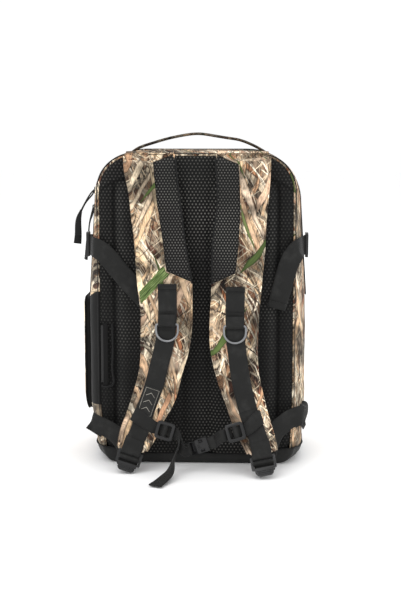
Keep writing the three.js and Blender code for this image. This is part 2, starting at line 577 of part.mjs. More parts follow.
// -------------------------------------------------------------- haul handle
{
  const st = [];
  const zs = [[-79, 489.9], [-72.5, 492.2], [-60, 496.1], [-47.9, 499.3], [-23.5, 504.6], [2.1, 507.4], [25.2, 504.6], [49.6, 500.7], [64.3, 498.2], [76, 494.2], [81.2, 492.2], [86.2, 489.9]];
  for (const [x, z] of zs) st.push({ c: V(x, -54, z), w: V(0, 1, 0), hw: Math.abs(x - 3.5) > 82 ? 5 : Math.abs(x - 3.5) > 75 ? 8 : 10 });
  add('haul_handle', band(st, 5), 'camo');
}

// ------------------------------------------------------------ sternum strap
// keepers: sleeves of cross-strap webbing round the webbing of each strap
for (const [side, frames, shift, hw] of [['left', FL, 2.6, 16.6], ['right', FR, -1.0, 14.2]]) {
  const at = (k, t) => {
    const f = frames[k], g = frames[Math.min(k + 1, 16)];
    const O = f.O.clone().lerp(g.O, t), I = f.I.clone().lerp(g.I, t);
    const n = f.n.clone().lerp(g.n, t).normalize(), w = f.w.clone().lerp(g.w, t).normalize();
    const z = (O.z + I.z) / 2;
    const c = O.clone().lerp(I, (webX(side, z) + shift - O.x) / (I.x - O.x));
    return { c: c.addScaledVector(n, 0.5 + WEB_T + 0.9 + 1.1), w, n, hw };
  };
  add(`sternum_keeper_${side}`, band([at(13, 0.55), at(14, 0), at(14, 0.5)], 2.2), 'webbing');
}
// square rings that join the keepers to the cross strap
const squareRing = (c, ex, up, w, h, t, d) => {
  const s = roundRect(w, h, 4, 0, 0);
  const q = roundRect(w - 2 * d, h - 2 * d, 2, 0, 0);
  s.holes.push(new THREE.Path(q.getPoints(2).reverse()));
  const g = extrude(s, t, 2);
  g.translate(0, 0, -t / 2);
  return placed(g, c, ex, up);
};
const SQ = {
  left: { c: V(-45.2, -138.9, 63.5), ex: V(0.96, 0, -0.28), up: V(0.28, 0.07, 0.96) },
  right: { c: V(61.6, -148.2, 64.6), ex: V(0.96, 0.02, 0.28), up: V(-0.28, 0.3, 0.9) },
};
for (const side of ['left', 'right']) {
  const q = SQ[side];
  const ex = q.ex.clone().normalize();
  const up = q.up.clone().addScaledVector(ex, -q.up.dot(ex)).normalize();
  add(`sternum_ring_${side}`, squareRing(q.c, ex, up, 27, 27, 3, 4), 'plastic');
}

// Buckle frame: X along the strap, drawn level and then turned by its slope.
const BUCKLE_C = V(2.0, -137, 38.6);
const BUCKLE_SLOPE = 17.5 * Math.PI / 180;
const buckle = new THREE.Group();
buckle.position.copy(BUCKLE_C);
buckle.rotation.y = -BUCKLE_SLOPE;
group.add(buckle);
// female body: a flat box, open on the left, with a window on each long edge
add('buckle_female', cut(
  block(0, 19, -4, 4, -11, 11),
  block(-1, 15, -2.4, 2.4, -8.6, 8.6),
  block(6, 12, -2.4, 2.4, -12, 12),
  block(15.9, 17.4, -5, 5, -9, 9),
), 'plastic', buckle);
// male frame: a plate with two webbing slots and a centre guide tongue
add('buckle_male', cut(
  block(-17, -0.4, -2.6, 2.6, -10.5, 10.5),
  block(-15, -12, -4, 4, -8.7, 8.7),
  block(-9.5, -6.5, -4, 4, -8.7, 8.7),
), 'plastic', buckle);
for (const [nm, s] of [['upper', 1], ['lower', -1]]) {
  const sh = new THREE.Shape();
  sh.moveTo(0.3, s * 3.6); sh.lineTo(6.6, s * 3.6); sh.lineTo(11.6, s * 6.4); sh.lineTo(11.6, s * 8.2);
  sh.lineTo(6.6, s * 8.2); sh.lineTo(5.4, s * 5.4); sh.lineTo(0.3, s * 5.4); sh.lineTo(0.3, s * 3.6);
  add(`buckle_prong_${nm}`, slab(sh, -1.9, 1.9, 1), 'plastic', buckle);
}
const onBuckle = (x, y, z) => {
  buckle.updateMatrixWorld(true);
  return V(x, y, z).applyMatrix4(buckle.matrixWorld);
};
// cross strap, right half: from the square ring to the female body
const dir = V(Math.cos(BUCKLE_SLOPE), 0, Math.sin(BUCKLE_SLOPE));
const across = V(-Math.sin(BUCKLE_SLOPE), 0, Math.cos(BUCKLE_SLOPE));
add('sternum_webbing_right', band([
  { c: onBuckle(19.6, 0, 0), w: across, hw: 9, n: V(0, 1, 0) },
  { c: onBuckle(30, -0.4, 0), w: across, hw: 9.5, n: V(0, 1, 0) },
  { c: V(39.5, -139.0, 52.2), w: V(-0.36, 0, 0.93), hw: 9.5, n: V(0.1, 1, 0) },
  { c: V(46.6, -142.6, 56.0), w: V(-0.36, 0, 0.93), hw: 9.3, n: V(0.3, 1, 0) },
], 2.4), 'webbing');
// cross strap, left half: from the square ring down to the male adjuster
add('sternum_webbing_left', band([
  { c: V(-29.6, -140.4, 59.6), w: V(0.32, 0, 0.95), hw: 9.3, n: V(-0.1, 1, 0) },
  { c: V(-26.6, -140.0, 51.6), w: V(0.5, 0, 0.87), hw: 9.3, n: V(-0.1, 1, 0) },
  { c: V(-24.4, -139.2, 43.6), w: V(0.6, 0, 0.8), hw: 9.3, n: V(0, 1, 0) },
  { c: V(-22.4, -138.2, 35.6), w: V(0.5, 0, 0.87), hw: 9.1, n: V(0, 1, 0) },
], 2), 'webbing');
// loose tail of the cross strap, hanging from the male adjuster to the floor
add('sternum_tail', band([
  { c: V(-21.5, -143.4, 37.5), w: V(0.5, 0, 0.86), hw: 9 },
  { c: V(-24.6, -148, 30), w: V(0.75, 0.1, 0.62), hw: 9.3 },
  { c: V(-29.5, -158, 20.6), w: V(0.9, 0.1, 0.35), hw: 9.6 },
  { c: V(-34, -172, 13), w: V(0.95, 0.1, 0.1), hw: 9.8 },
  { c: V(-40, -190, 7.4), w: V(0.97, -0.2, 0), hw: 9.8 },
  { c: V(-46.5, -208, 4.0), w: V(0.96, -0.25, 0), hw: 10 },
  { c: V(-53.5, -225, 2.4), w: V(0.94, -0.3, 0), hw: 10 },
], 2), 'webbing');

// ------------------------------------------------------- sliders and pulls
// [name, z of the slider, y of the pull, path of the pull as (x, z, half width)]
add('zip_slider_upper', block(-160.9, -157.5, ZIP_Y - 4, ZIP_Y + 4, 414, 427), 'steel');
add('zip_slider_lower', block(-163.3, -159.9, ZIP_Y - 4, ZIP_Y + 4, 386, 399), 'steel');
const pull = (y, t, pts) => {
  const s = new THREE.Shape();
  const L = pts.map(([x, z, h]) => [x - h, z]), R = pts.map(([x, z, h]) => [x + h, z]).reverse();
  [...L, ...R].forEach(([x, z], i) => (i ? s.lineTo(x, z) : s.moveTo(x, z)));
  s.lineTo(...L[0]);
  return slab(s, y - t / 2, y + t / 2, 1);
};
add('zip_pull_upper', pull(ZIP_Y - 5.6, 2.4, [[-163.6, 420, 1.2], [-173, 404, 1.2], [-182.5, 387, 1.4], [-185.5, 378, 3.6], [-187, 352, 4.6], [-188.4, 336, 5.2]]), 'plastic');
add('zip_pull_lower', pull(ZIP_Y + 0.6, 2.4, [[-165.2, 392, 1.2], [-168.5, 374, 1.2], [-171.5, 352, 1.4], [-172.8, 345, 3.2], [-175, 322, 3.8], [-176.2, 310, 4.2]]), 'plastic');
// side pocket zip: runs down the front edge of the pocket
add('side_slider', block(-179.5, -174, 60.3, 64, 214, 226), 'steel');
add('side_pull', block(-178.6, -174.9, 64.4, 66.4, 176, 219), 'plastic');
// lid pocket zip: runs across the pocket
const PY = FRONT_Y + GAP + 17 + GAP;
add('lid_pocket_slider', block(-100, -88, PY, PY + 3.4, 391, 399), 'steel');
add('lid_pocket_pull', block(-96, -92, PY + 3.8, PY + 5.8, 352, 394), 'plastic');

export default group;
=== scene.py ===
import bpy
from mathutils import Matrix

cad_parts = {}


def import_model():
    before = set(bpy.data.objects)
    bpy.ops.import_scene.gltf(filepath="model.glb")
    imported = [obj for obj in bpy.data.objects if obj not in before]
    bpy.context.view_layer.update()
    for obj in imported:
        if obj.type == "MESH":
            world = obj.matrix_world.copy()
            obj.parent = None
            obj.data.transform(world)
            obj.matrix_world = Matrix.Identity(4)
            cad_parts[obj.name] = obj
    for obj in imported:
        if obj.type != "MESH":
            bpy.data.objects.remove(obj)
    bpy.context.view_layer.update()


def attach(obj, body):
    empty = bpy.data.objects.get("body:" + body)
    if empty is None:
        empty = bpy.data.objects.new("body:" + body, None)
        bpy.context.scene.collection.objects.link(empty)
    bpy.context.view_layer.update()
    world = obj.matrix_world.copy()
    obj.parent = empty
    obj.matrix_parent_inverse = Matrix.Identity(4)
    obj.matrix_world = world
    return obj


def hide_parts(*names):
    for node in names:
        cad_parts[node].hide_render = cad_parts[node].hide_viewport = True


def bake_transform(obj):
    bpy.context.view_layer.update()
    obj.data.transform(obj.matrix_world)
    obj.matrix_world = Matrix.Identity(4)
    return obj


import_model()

import math
import bpy
import bmesh
import numpy as np
from mathutils import Vector, Matrix, noise

MM = 0.001
scene = bpy.context.scene

# ------------------------------------------------------------------ camera
cam_data = bpy.data.cameras.new("camera")
cam = bpy.data.objects.new("camera", cam_data)
scene.collection.objects.link(cam)
scene.camera = cam
cam_data.lens = 71.5
cam_data.sensor_width = 36.0
cam_data.sensor_fit = "AUTO"
cam_data.clip_end = 40
CAM = Vector((0.080, -1.892, 0.510))
AIM = Vector((0.0069, -0.092, 0.510 - 1.8 * math.tan(math.radians(8.04))))
cam.location = CAM
cam.rotation_euler = (AIM - CAM).to_track_quat("-Z", "Y").to_euler()

# ------------------------------------------------------------- node helpers
class G:
    """Short-hand for building a material's node graph."""

    def __init__(self, name):
        self.m = bpy.data.materials.new(name)
        self.m.use_nodes = True
        self.t = self.m.node_tree
        self.t.nodes.clear()
        self.out = self.n("ShaderNodeOutputMaterial")
        self.b = self.n("ShaderNodeBsdfPrincipled")
        self.t.links.new(self.b.outputs[0], self.out.inputs["Surface"])

    def n(self, kind, **props):
        x = self.t.nodes.new(kind)
        for k, v in props.items():
            setattr(x, k, v)
        return x

    def put(self, sock, v):
        if isinstance(v, bpy.types.NodeSocket):
            self.t.links.new(v, sock)
        elif v is not None:
            sock.default_value = v

    def math(self, op, a, b=None, c=None, clamp=False):
        x = self.n("ShaderNodeMath", operation=op, use_clamp=clamp)
        self.put(x.inputs[0], a)
        self.put(x.inputs[1], b)
        self.put(x.inputs[2], c)
        return x.outputs[0]

    def vmath(self, op, a, b=None, c=None, scale=None):
        x = self.n("ShaderNodeVectorMath", operation=op)
        self.put(x.inputs[0], a)
        self.put(x.inputs[1], b)
        self.put(x.inputs[2], c)
        if scale is not None:
            self.put(x.inputs["Scale"], scale)
        return x.outputs["Value"] if op in ("LENGTH", "DOT_PRODUCT", "DISTANCE") else x.outputs["Vector"]

    def mix(self, f, a, b, blend="MIX"):
        x = self.n("ShaderNodeMix", data_type="RGBA", blend_type=blend)
        self.put(x.inputs[0], f)
        self.put(x.inputs[6], a)
        self.put(x.inputs[7], b)
        return x.outputs[2]

    def ramp(self, f, stops, mode="LINEAR"):
        x = self.n("ShaderNodeValToRGB")
        self.put(x.inputs[0], f)
        cr = x.color_ramp
        cr.interpolation = mode
        while len(cr.elements) < len(stops):
            cr.elements.new(0.5)
        for e, (p, c) in zip(cr.elements, stops):
            e.position = p
            e.color = (*c, 1) if len(c) == 3 else c
        return x.outputs[0]

    def smooth(self, v, lo, hi):
        x = self.n("ShaderNodeMapRange", interpolation_type="SMOOTHSTEP")
        self.put(x.inputs[0], v)
        x.inputs[1].default_value = lo
        x.inputs[2].default_value = hi
        return x.outputs[0]

    def noise(self, vec, scale, detail=2.0, rough=0.5, dist=0.0):
        x = self.n("ShaderNodeTexNoise")
        self.put(x.inputs["Vector"], vec)
        x.inputs["Scale"].default_value = scale
        x.inputs["Detail"].default_value = detail
        x.inputs["Roughness"].default_value = rough
        x.inputs["Distortion"].default_value = dist
        return x

    def sep(self, v):
        x = self.n("ShaderNodeSeparateXYZ")
        self.put(x.inputs[0], v)
        return x.outputs

    def comb(self, a=0.0, b=0.0, c=0.0):
        x = self.n("ShaderNodeCombineXYZ")
        for i, q in enumerate((a, b, c)):
            self.put(x.inputs[i], q)
        return x.outputs[0]

    def bump(self, h, dist, strength=1.0, normal=None):
        x = self.n("ShaderNodeBump")
        x.inputs["Strength"].default_value = strength
        x.inputs["Distance"].default_value = dist
        self.put(x.inputs["Height"], h)
        if normal is not None:
            self.put(x.inputs["Normal"], normal)
        return x.outputs[0]

    def coord(self, kind="Object"):
        return self.n("ShaderNodeTexCoord").outputs[kind]


def lin(hexcol):
    h = hexcol.lstrip("#")
    out = []
    for i in (0, 2, 4):
        c = int(h[i:i + 2], 16) / 255
        out.append(c / 12.92 if c <= 0.04045 else ((c + 0.055) / 1.055) ** 2.4)
    return tuple(out)


# ------------------------------------------------------------ camouflage
REEDS = [lin(c) for c in ("#ead9b6", "#c9ab7c", "#8d6f50", "#b37a4a", "#5d463a", "#dcc69d", "#7b5f49", "#a98560")]


def flat_coords(g):
    """Object position pressed onto a skewed plane, so that every side of the bag takes the print."""
    x, y, z = g.sep(g.coord("Object"))[0:3]
    nz_ = g.sep(g.coord("Normal"))[2]
    flat = g.math("GREATER_THAN", g.math("ABSOLUTE", nz_), 0.72)
    ku = g.math("MULTIPLY_ADD", flat, -0.62, 0.92)
    kv = g.math("MULTIPLY_ADD", flat, 0.53, 0.42)
    u = g.math("ADD", g.math("MULTIPLY", y, ku), x)
    v = g.math("ADD", g.math("MULTIPLY", y, kv), z)
    return g.comb(u, v, 0.0)


def reed_layer(g, p, angle, width, length, seed, keep, stops, edge=(0.015, 0.06)):
    """One sheet of stems: returns (mask, colour)."""
    mp = g.n("ShaderNodeMapping", vector_type="POINT")
    g.put(mp.inputs["Vector"], p)
    mp.inputs["Rotation"].default_value = (0, 0, math.radians(angle))
    rot = g.vmath("MULTIPLY", mp.outputs[0], (1 / width, 1 / length, 1))
    rot = g.vmath("ADD", rot, (seed * 3.7, seed * 1.9, 0))
    v1 = g.n("ShaderNodeTexVoronoi", voronoi_dimensions="2D", feature="F1")
    v2 = g.n("ShaderNodeTexVoronoi", voronoi_dimensions="2D", feature="DISTANCE_TO_EDGE")
    for v in (v1, v2):
        g.put(v.inputs["Vector"], rot)
        v.inputs["Scale"].default_value = 1.0
        v.inputs["Randomness"].default_value = 0.95
    rgb = g.n("ShaderNodeSeparateColor")
    g.put(rgb.inputs[0], v1.outputs["Color"])
    e = v2.outputs["Distance"]
    on = g.math("LESS_THAN", rgb.outputs[0], keep)
    mask = g.math("MULTIPLY", g.smooth(e, *edge), on)
    col = g.ramp(rgb.outputs[1], stops)
    # round stem: bright ridge to one side, dark at the margins, fine fibres along it
    fib = g.noise(g.vmath("MULTIPLY", rot, (7.0, 0.55, 1)), 1.0, 3.0, 0.62)
    side = g.math("SUBTRACT", rgb.outputs[2], 0.5)
    shade = g.math("MULTIPLY_ADD", g.smooth(e, 0.0, 0.26), 0.62, 0.42)
    shade = g.math("MULTIPLY", shade, g.math("MULTIPLY_ADD", fib.outputs[0], 1.25, 0.40))
    shade = g.math("MULTIPLY_ADD", side, 0.25, shade)
    col = g.mix(1.0, col, g.comb(shade, shade, shade), "MULTIPLY")
    return mask, col


def camo_colour(g):
    p = flat_coords(g)
    w = g.noise(p, 11.0, 2.0, 0.5)
    warp = g.vmath("SUBTRACT", w.outputs["Color"], (0.5, 0.5, 0.5))
    p = g.vmath("MULTIPLY_ADD", warp, (0.020, 0.012, 0), p)
    # ground: litter of dark and mid browns with a fine grain
    st = g.noise(g.vmath("MULTIPLY", p, (1.0, 0.28, 1)), 230.0, 5.0, 0.70, 0.6)
    base = g.ramp(st.outputs[0], [(0.34, lin("#0f0c0a")), (0.46, lin("#271c15")), (0.54, lin("#4c3929")), (0.62, lin("#7d6247")), (0.72, lin("#c7ad86"))])
    big = g.noise(p, 15.0, 3.0, 0.55)
    S = lambda *h: [(i / max(1, len(h) - 1), lin(c)) for i, c in enumerate(h)]
    layers = [
        (32, 0.0200, 0.170, 1, 0.52, S("#3a2a1f", "#6b5038", "#8c6b46", "#1f1712", "#5c3a25")),
        (-25, 0.0160, 0.150, 2, 0.48, S("#74563a", "#2b1f18", "#a07c52", "#4c3727", "#19120e")),
        (8, 0.0115, 0.140, 3, 0.42, S("#a4835a", "#6b4c33", "#cbb48c", "#35271d", "#82492a")),
        (-40, 0.0090, 0.110, 4, 0.32, S("#bfa27a", "#5b432f", "#dccba6", "#231913", "#93693f")),
        (44, 0.0080, 0.110, 5, 0.30, S("#9f7a50", "#dfcfac", "#4e3a2a", "#84502e")),
        (-10, 0.0062, 0.120, 6, 0.30, S("#e2d3b2", "#bf9f74", "#5d442f", "#96602f")),
        (22, 0.0044, 0.095, 7, 0.26, S("#ece0c4", "#cdb48a", "#a98257")),
        (-31, 0.0036, 0.085, 8, 0.22, S("#e9dcbf", "#241a14", "#c9ad80")),
        (-58, 0.0032, 0.055, 9, 0.14, S("#15100d", "#e6d8b8", "#2a1d15")),
    ]
    col = base
    for a, wd, ln, sd, keep, st_ in layers:
        m, c = reed_layer(g, p, a, wd, ln, sd, keep, st_)
        col = g.mix(m, col, c)
    mat_ = g.noise(g.vmath("MULTIPLY", p, (1.0, 0.55, 1)), 420.0, 5.0, 0.75, 1.2)
    straw = g.ramp(mat_.outputs[0], [(0.36, lin("#21160e")), (0.45, lin("#6b4a2e")), (0.53, lin("#a88658")), (0.60, lin("#d3bb8d")), (0.68, lin("#f2e8cf"))])
    pat = g.noise(g.vmath("ADD", p, (5.3, 2.2, 0)), 13.0, 2.0, 0.5)
    col = g.mix(g.math("MULTIPLY", g.smooth(pat.outputs[0], 0.52, 0.62), 0.5), col, straw)
    for a, wd, ln, sd, keep, st_ in ((14, 0.0018, 0.046, 12, 0.24, S("#120d0a", "#2a1c13", "#0e0b09")),
                                     (-22, 0.0016, 0.040, 13, 0.17, S("#ecdfc2", "#2a1c13", "#d8c39a")),
                                     (52, 0.0015, 0.028, 14, 0.10, S("#17100c", "#e4d4b0", "#3b281b"))):
        m, c = reed_layer(g, p, a, wd, ln, sd, keep, st_)
        col = g.mix(g.math("MULTIPLY", m, 0.7), col, c)
    for a, wd, ln, sd, keep, st_ in ((27, 0.0085, 0.105, 41, 0.13, S("#e6d6b2", "#8b5a36", "#cdb183")),
                                     (-17, 0.0065, 0.120, 42, 0.12, S("#dcc79c", "#a5764a", "#efe3c6"))):
        m, c = reed_layer(g, p, a, wd, ln, sd, keep, st_, (0.035, 0.06))
        e, _c = reed_layer(g, p, a, wd, ln, sd, keep, st_, (0.0, 0.012))
        col = g.mix(g.math("MULTIPLY", e, 0.7), col, (*lin("#1c130d"), 1))
        col = g.mix(m, col, c)
    gr = g.noise(g.vmath("MULTIPLY", p, (1.0, 0.22, 1)), 520.0, 4.0, 0.7, 0.8)
    kk = g.math("MULTIPLY_ADD", g.smooth(gr.outputs[0], 0.34, 0.62), 0.62, 0.62)
    col = g.mix(1.0, col, g.comb(kk, kk, kk), "MULTIPLY")
    # patches where the print falls into shadow, and others bleached by light
    dk = g.noise(g.vmath("ADD", p, (3.1, 1.7, 0)), 17.0, 3.0, 0.6)
    k = g.math("MULTIPLY_ADD", g.smooth(dk.outputs[0], 0.38, 0.60), 1.06, 0.34)
    col = g.mix(1.0, col, g.comb(k, k, k), "MULTIPLY")
    col = g.mix(g.math("MULTIPLY", g.smooth(big.outputs[0], 0.54, 0.72), 0.35), col, (*lin("#dcc6a6"), 1))
    tone = g.n("ShaderNodeHueSaturation")
    tone.inputs["Hue"].default_value = 0.491
    tone.inputs["Saturation"].default_value = 0.90
    tone.inputs["Value"].default_value = 1.12
    g.put(tone.inputs["Color"], col)
    col = tone.outputs[0]
    m, c = reed_layer(g, p, 41, 0.010, 0.085, 21, 0.011, S("#2c3a1c", "#5b6d3a", "#3a4a26"))
    col = g.mix(m, col, c)
    m, c = reed_layer(g, p, -13, 0.0042, 0.08, 33, 0.018, S("#3c4a26", "#6a7446"))
    col = g.mix(m, col, c)
    return col


def weave_height(g, p, pitch):
    """Plain weave, as a height from 0 to 1."""
    q = g.vmath("SCALE", p, scale=math.pi / pitch)
    x, y, z = g.sep(q)[0:3]
    sx = g.math("ABSOLUTE", g.math("SINE", x))
    sz = g.math("ABSOLUTE", g.math("SINE", z))
    return g.math("MULTIPLY_ADD", sx, 0.5, g.math("MULTIPLY", sz, 0.5))


def make_camo(name, gain=1.0):
    g = G(name)
    col = camo_colour(g)
    p = flat_coords(g)
    dirt = g.noise(p, 60.0, 4.0, 0.6)
    k = g.math("MULTIPLY_ADD", dirt.outputs[0], 0.30, 0.86 * gain)
    col = g.mix(1.0, col, g.comb(k, k, k), "MULTIPLY")
    g.put(g.b.inputs["Base Color"], col)
    r = g.noise(p, 300.0, 2.0)
    g.put(g.b.inputs["Roughness"], g.math("MULTIPLY_ADD", r.outputs[0], 0.16, 0.70))
    g.b.inputs["Sheen Weight"].default_value = 0.04
    g.b.inputs["Sheen Roughness"].default_value = 0.5
    g.b.inputs["Specular IOR Level"].default_value = 0.2
    px, py, pz = g.sep(p)[0:3]
    wv = weave_height(g, g.comb(px, 0.0, py), 0.00075)
    soft = g.noise(p, 38.0, 4.0, 0.55)
    b = g.bump(soft.outputs[0], 0.004, 0.55)
    g.put(g.b.inputs["Normal"], g.bump(wv, 0.00025, 0.55, b))
    return g.m


def hex_distance(g, x, z, pitch):
    q = g.comb(g.math("DIVIDE", x, pitch), g.math("DIVIDE", z, pitch), 0.0)
    a = g.vmath("WRAP", q, (0.5, 0.8660254, 0.5), (-0.5, -0.8660254, -0.5))
    b = g.vmath("WRAP", g.vmath("ADD", q, (0.5, 0.8660254, 0)), (0.5, 0.8660254, 0.5), (-0.5, -0.8660254, -0.5))
    return g.math("MINIMUM", g.vmath("LENGTH", a), g.vmath("LENGTH", b))


def mesh_parts(g, pitch=0.0054, uv=False, dim=1.0):
    """Colour, roughness and height of the black hexagonal air mesh; the dots carry painted light."""
    if uv:
        s = g.sep(g.coord("UV"))
        x, z = s[0], s[1]
    else:
        s = g.sep(g.coord("Object"))
        x, z = s[0], s[2]
    d = hex_distance(g, x, z, pitch)
    hole = g.math("SUBTRACT", 1.0, g.smooth(d, 0.16, 0.30))
    rib = g.smooth(d, 0.34, 0.52)
    fuzz = g.noise(g.coord("Object"), 900.0, 2.0)
    big = g.noise(g.coord("Object"), 9.0, 2.0)
    ground = g.mix(fuzz.outputs[0], (*lin("#0b0b0b"), 1), (*lin("#191918"), 1))
    dots = g.mix(g.smooth(big.outputs[0], 0.35, 0.65), (*lin("#454441"), 1), (*lin("#74726d"), 1))
    # painted light: the dots are brightened towards the top, where more light falls from above, and dimmed away from
    # the centre line
    far = g.math("MULTIPLY_ADD", g.smooth(g.math("ABSOLUTE", x), 0.055, 0.098), -0.60, 0.90)
    far = g.math("MULTIPLY", far, g.math("MULTIPLY_ADD", g.smooth(z, 0.10, 0.30), 0.45, 0.60))
    col = g.mix(g.math("MULTIPLY", g.math("MULTIPLY", hole, far), 0.85 * dim), ground, dots)
    col = g.mix(g.math("MULTIPLY", rib, 0.35), col, (*lin("#0e0e0f"), 1))
    h = g.math("SUBTRACT", 1.0, g.math("MULTIPLY", hole, 0.8))
    h = g.math("MULTIPLY_ADD", rib, -0.35, h)
    return col, h, hole


def make_mesh(name, uv=False, pitch=0.0054):
    g = G(name)
    col, h, hole = mesh_parts(g, pitch, uv)
    # the sewn channels round the two pads fall into shade, and their shoulders catch light
    ox, oy, oz = g.sep(g.coord("Object"))[0:3]
    ax = g.math("ABSOLUTE", ox)
    over = g.math("MAXIMUM", g.math("SUBTRACT", ax, 0.105), 0.0)
    zc = g.math("MULTIPLY_ADD", g.math("MULTIPLY", over, over), -10.6, 0.4395)
    up = g.math("SUBTRACT", oz, zc)
    inb = g.math("SUBTRACT", 1.0, g.smooth(up, -0.001, 0.001))
    line_v = g.math("MULTIPLY", g.math("SUBTRACT", 1.0, g.smooth(g.math("ABSOLUTE", g.math("SUBTRACT", ax, 0.1250)), 0.0012, 0.0042)), inb)
    line_h = g.math("SUBTRACT", 1.0, g.smooth(g.math("ABSOLUTE", up), 0.0010, 0.0036))
    line_h = g.math("MULTIPLY", line_h, g.smooth(ax, 0.030, 0.040))
    shade = g.math("MULTIPLY_ADD", g.math("MAXIMUM", line_v, line_h), -0.70, 1.0)
    sh = g.math("MULTIPLY", g.smooth(ax, 0.098, 0.116), g.math("SUBTRACT", 1.0, g.smooth(ax, 0.116, 0.123)))
    shade = g.math("MULTIPLY", shade, g.math("MULTIPLY_ADD", g.math("MULTIPLY", sh, inb), 0.55, 1.0))
    # painted shade: the strip of mesh outside the pads is darkened a little
    out_ = g.math("MULTIPLY", g.smooth(ax, 0.127, 0.134), inb)
    shade = g.math("MULTIPLY", shade, g.math("MULTIPLY_ADD", out_, -0.22, 1.0))
    col = g.mix(1.0, col, g.comb(shade, shade, shade), "MULTIPLY")
    g.put(g.b.inputs["Base Color"], col)
    g.put(g.b.inputs["Roughness"], g.math("MULTIPLY_ADD", hole, -0.25, 0.82))
    g.b.inputs["Sheen Weight"].default_value = 0.03
    g.b.inputs["Specular IOR Level"].default_value = 0.18
    g.b.inputs["Sheen Roughness"].default_value = 0.45
    soft = g.noise(g.coord("Object"), 30.0, 3.0)
    b = g.bump(soft.outputs[0], 0.003, 0.4)
    g.put(g.b.inputs["Normal"], g.bump(h, 0.0009, 0.8, b))
    return g.m


def make_strap_mat(name):
    """Camouflage outside a painted line, air mesh inside it; the attribute is the signed distance to the line."""
    g = G(name)
    at = g.n("ShaderNodeAttribute", attribute_name="inlay", attribute_type="GEOMETRY").outputs["Fac"]
    inside = g.smooth(at, -0.00025, 0.00025)
    seam = g.math("SUBTRACT", 1.0, g.smooth(g.math("ABSOLUTE", at), 0.0003, 0.0011))
    camo = camo_colour(g)
    bx, by, bz = g.sep(g.coord("Object"))[0:3]
    ca, sa = math.cos(math.radians(47)), math.sin(math.radians(47))
    dx = g.math("ADD", bx, 0.066)
    dz = g.math("SUBTRACT", bz, 0.281)
    al = g.math("ADD", g.math("MULTIPLY", dx, ca), g.math("MULTIPLY", dz, sa))
    ac = g.math("SUBTRACT", g.math("MULTIPLY", dz, ca), g.math("MULTIPLY", dx, sa))
    wob = g.noise(g.comb(g.math("MULTIPLY", al, 60.0), 0.0, 0.0), 1.0, 2.0)
    wid = g.math("MULTIPLY_ADD", wob.outputs[0], 0.005, 0.0050)
    blade = g.math("MULTIPLY", g.math("LESS_THAN", g.math("ABSOLUTE", ac), wid), g.math("LESS_THAN", g.math("ABSOLUTE", al), 0.034))
    vein = g.noise(g.comb(g.math("MULTIPLY", al, 45.0), g.math("MULTIPLY", ac, 900.0), 0.0), 1.0, 3.0)
    bcol = g.ramp(vein.outputs[0], [(0.35, lin("#26331a")), (0.5, lin("#566b37")), (0.66, lin("#8f9f6a"))])
    camo = g.mix(blade, camo, bcol)
    mcol, mh, hole = mesh_parts(g, 0.0046, dim=0.95)
    col = g.mix(inside, camo, mcol)
    col = g.mix(g.math("MULTIPLY", seam, 0.75), col, (*lin("#17120f"), 1))
    g.put(g.b.inputs["Base Color"], col)
    g.put(g.b.inputs["Roughness"], 0.76)
    g.b.inputs["Roughness"].default_value = 0.76
    g.b.inputs["Sheen Weight"].default_value = 0.04
    g.b.inputs["Specular IOR Level"].default_value = 0.18
    p = flat_coords(g)
    px, py, pz = g.sep(p)[0:3]
    wv = weave_height(g, g.comb(px, 0.0, py), 0.00075)
    mh2 = g.math("MULTIPLY", mh, inside)
    soft = g.noise(p, 42.0, 4.0, 0.55)
    b = g.bump(soft.outputs[0], 0.0035, 0.5)
    b = g.bump(g.math("MULTIPLY", seam, -1.0), 0.0012, 0.8, b)
    b = g.bump(mh2, 0.0008, 0.7, b)
    g.put(g.b.inputs["Normal"], g.bump(wv, 0.0002, 0.4, b))
    return g.m


def make_webbing(name, tint="#191918", rib=0.0016):
    """Woven tape: chevron ribs along its length. UV is in metres, U across."""
    g = G(name)
    u, v, _ = g.sep(g.coord("UV"))[0:3]
    t = g.math("MULTIPLY", u, math.pi / rib)
    zig = g.math("ABSOLUTE", g.math("SUBTRACT", g.math("FRACT", g.math("DIVIDE", u, rib * 2)), 0.5))
    w = g.math("SINE", g.math("MULTIPLY", g.math("ADD", v, g.math("MULTIPLY", zig, rib * 3)), 2 * math.pi / 0.0013))
    lon = g.math("ABSOLUTE", g.math("SINE", t))
    h = g.math("MULTIPLY_ADD", w, 0.22, g.math("MULTIPLY", lon, 0.6))
    n1 = g.noise(g.coord("Object"), 55.0, 4.0, 0.6)
    n2 = g.noise(g.comb(g.math("MULTIPLY", u, 900.0), g.math("MULTIPLY", v, 90.0), 0.0), 1.0, 2.0)
    f = g.math("MULTIPLY_ADD", h, 0.35, g.math("MULTIPLY", n2.outputs[0], 0.5))
    base = Vector(lin(tint))
    col = g.mix(f, (*(base * 0.55), 1), (*(base * 1.55), 1))
    col = g.mix(g.smooth(n1.outputs[0], 0.45, 0.75), col, (*(base * 1.7 + Vector((0.003, 0.003, 0.003))), 1))
    g.put(g.b.inputs["Base Color"], col)
    g.put(g.b.inputs["Roughness"], g.math("MULTIPLY_ADD", n2.outputs[0], 0.25, 0.52))
    g.b.inputs["Sheen Weight"].default_value = 0.05
    g.b.inputs["Sheen Roughness"].default_value = 0.4
    g.b.inputs["Specular IOR Level"].default_value = 0.25
    g.put(g.b.inputs["Normal"], g.bump(h, 0.00045, 0.75))
    return g.m


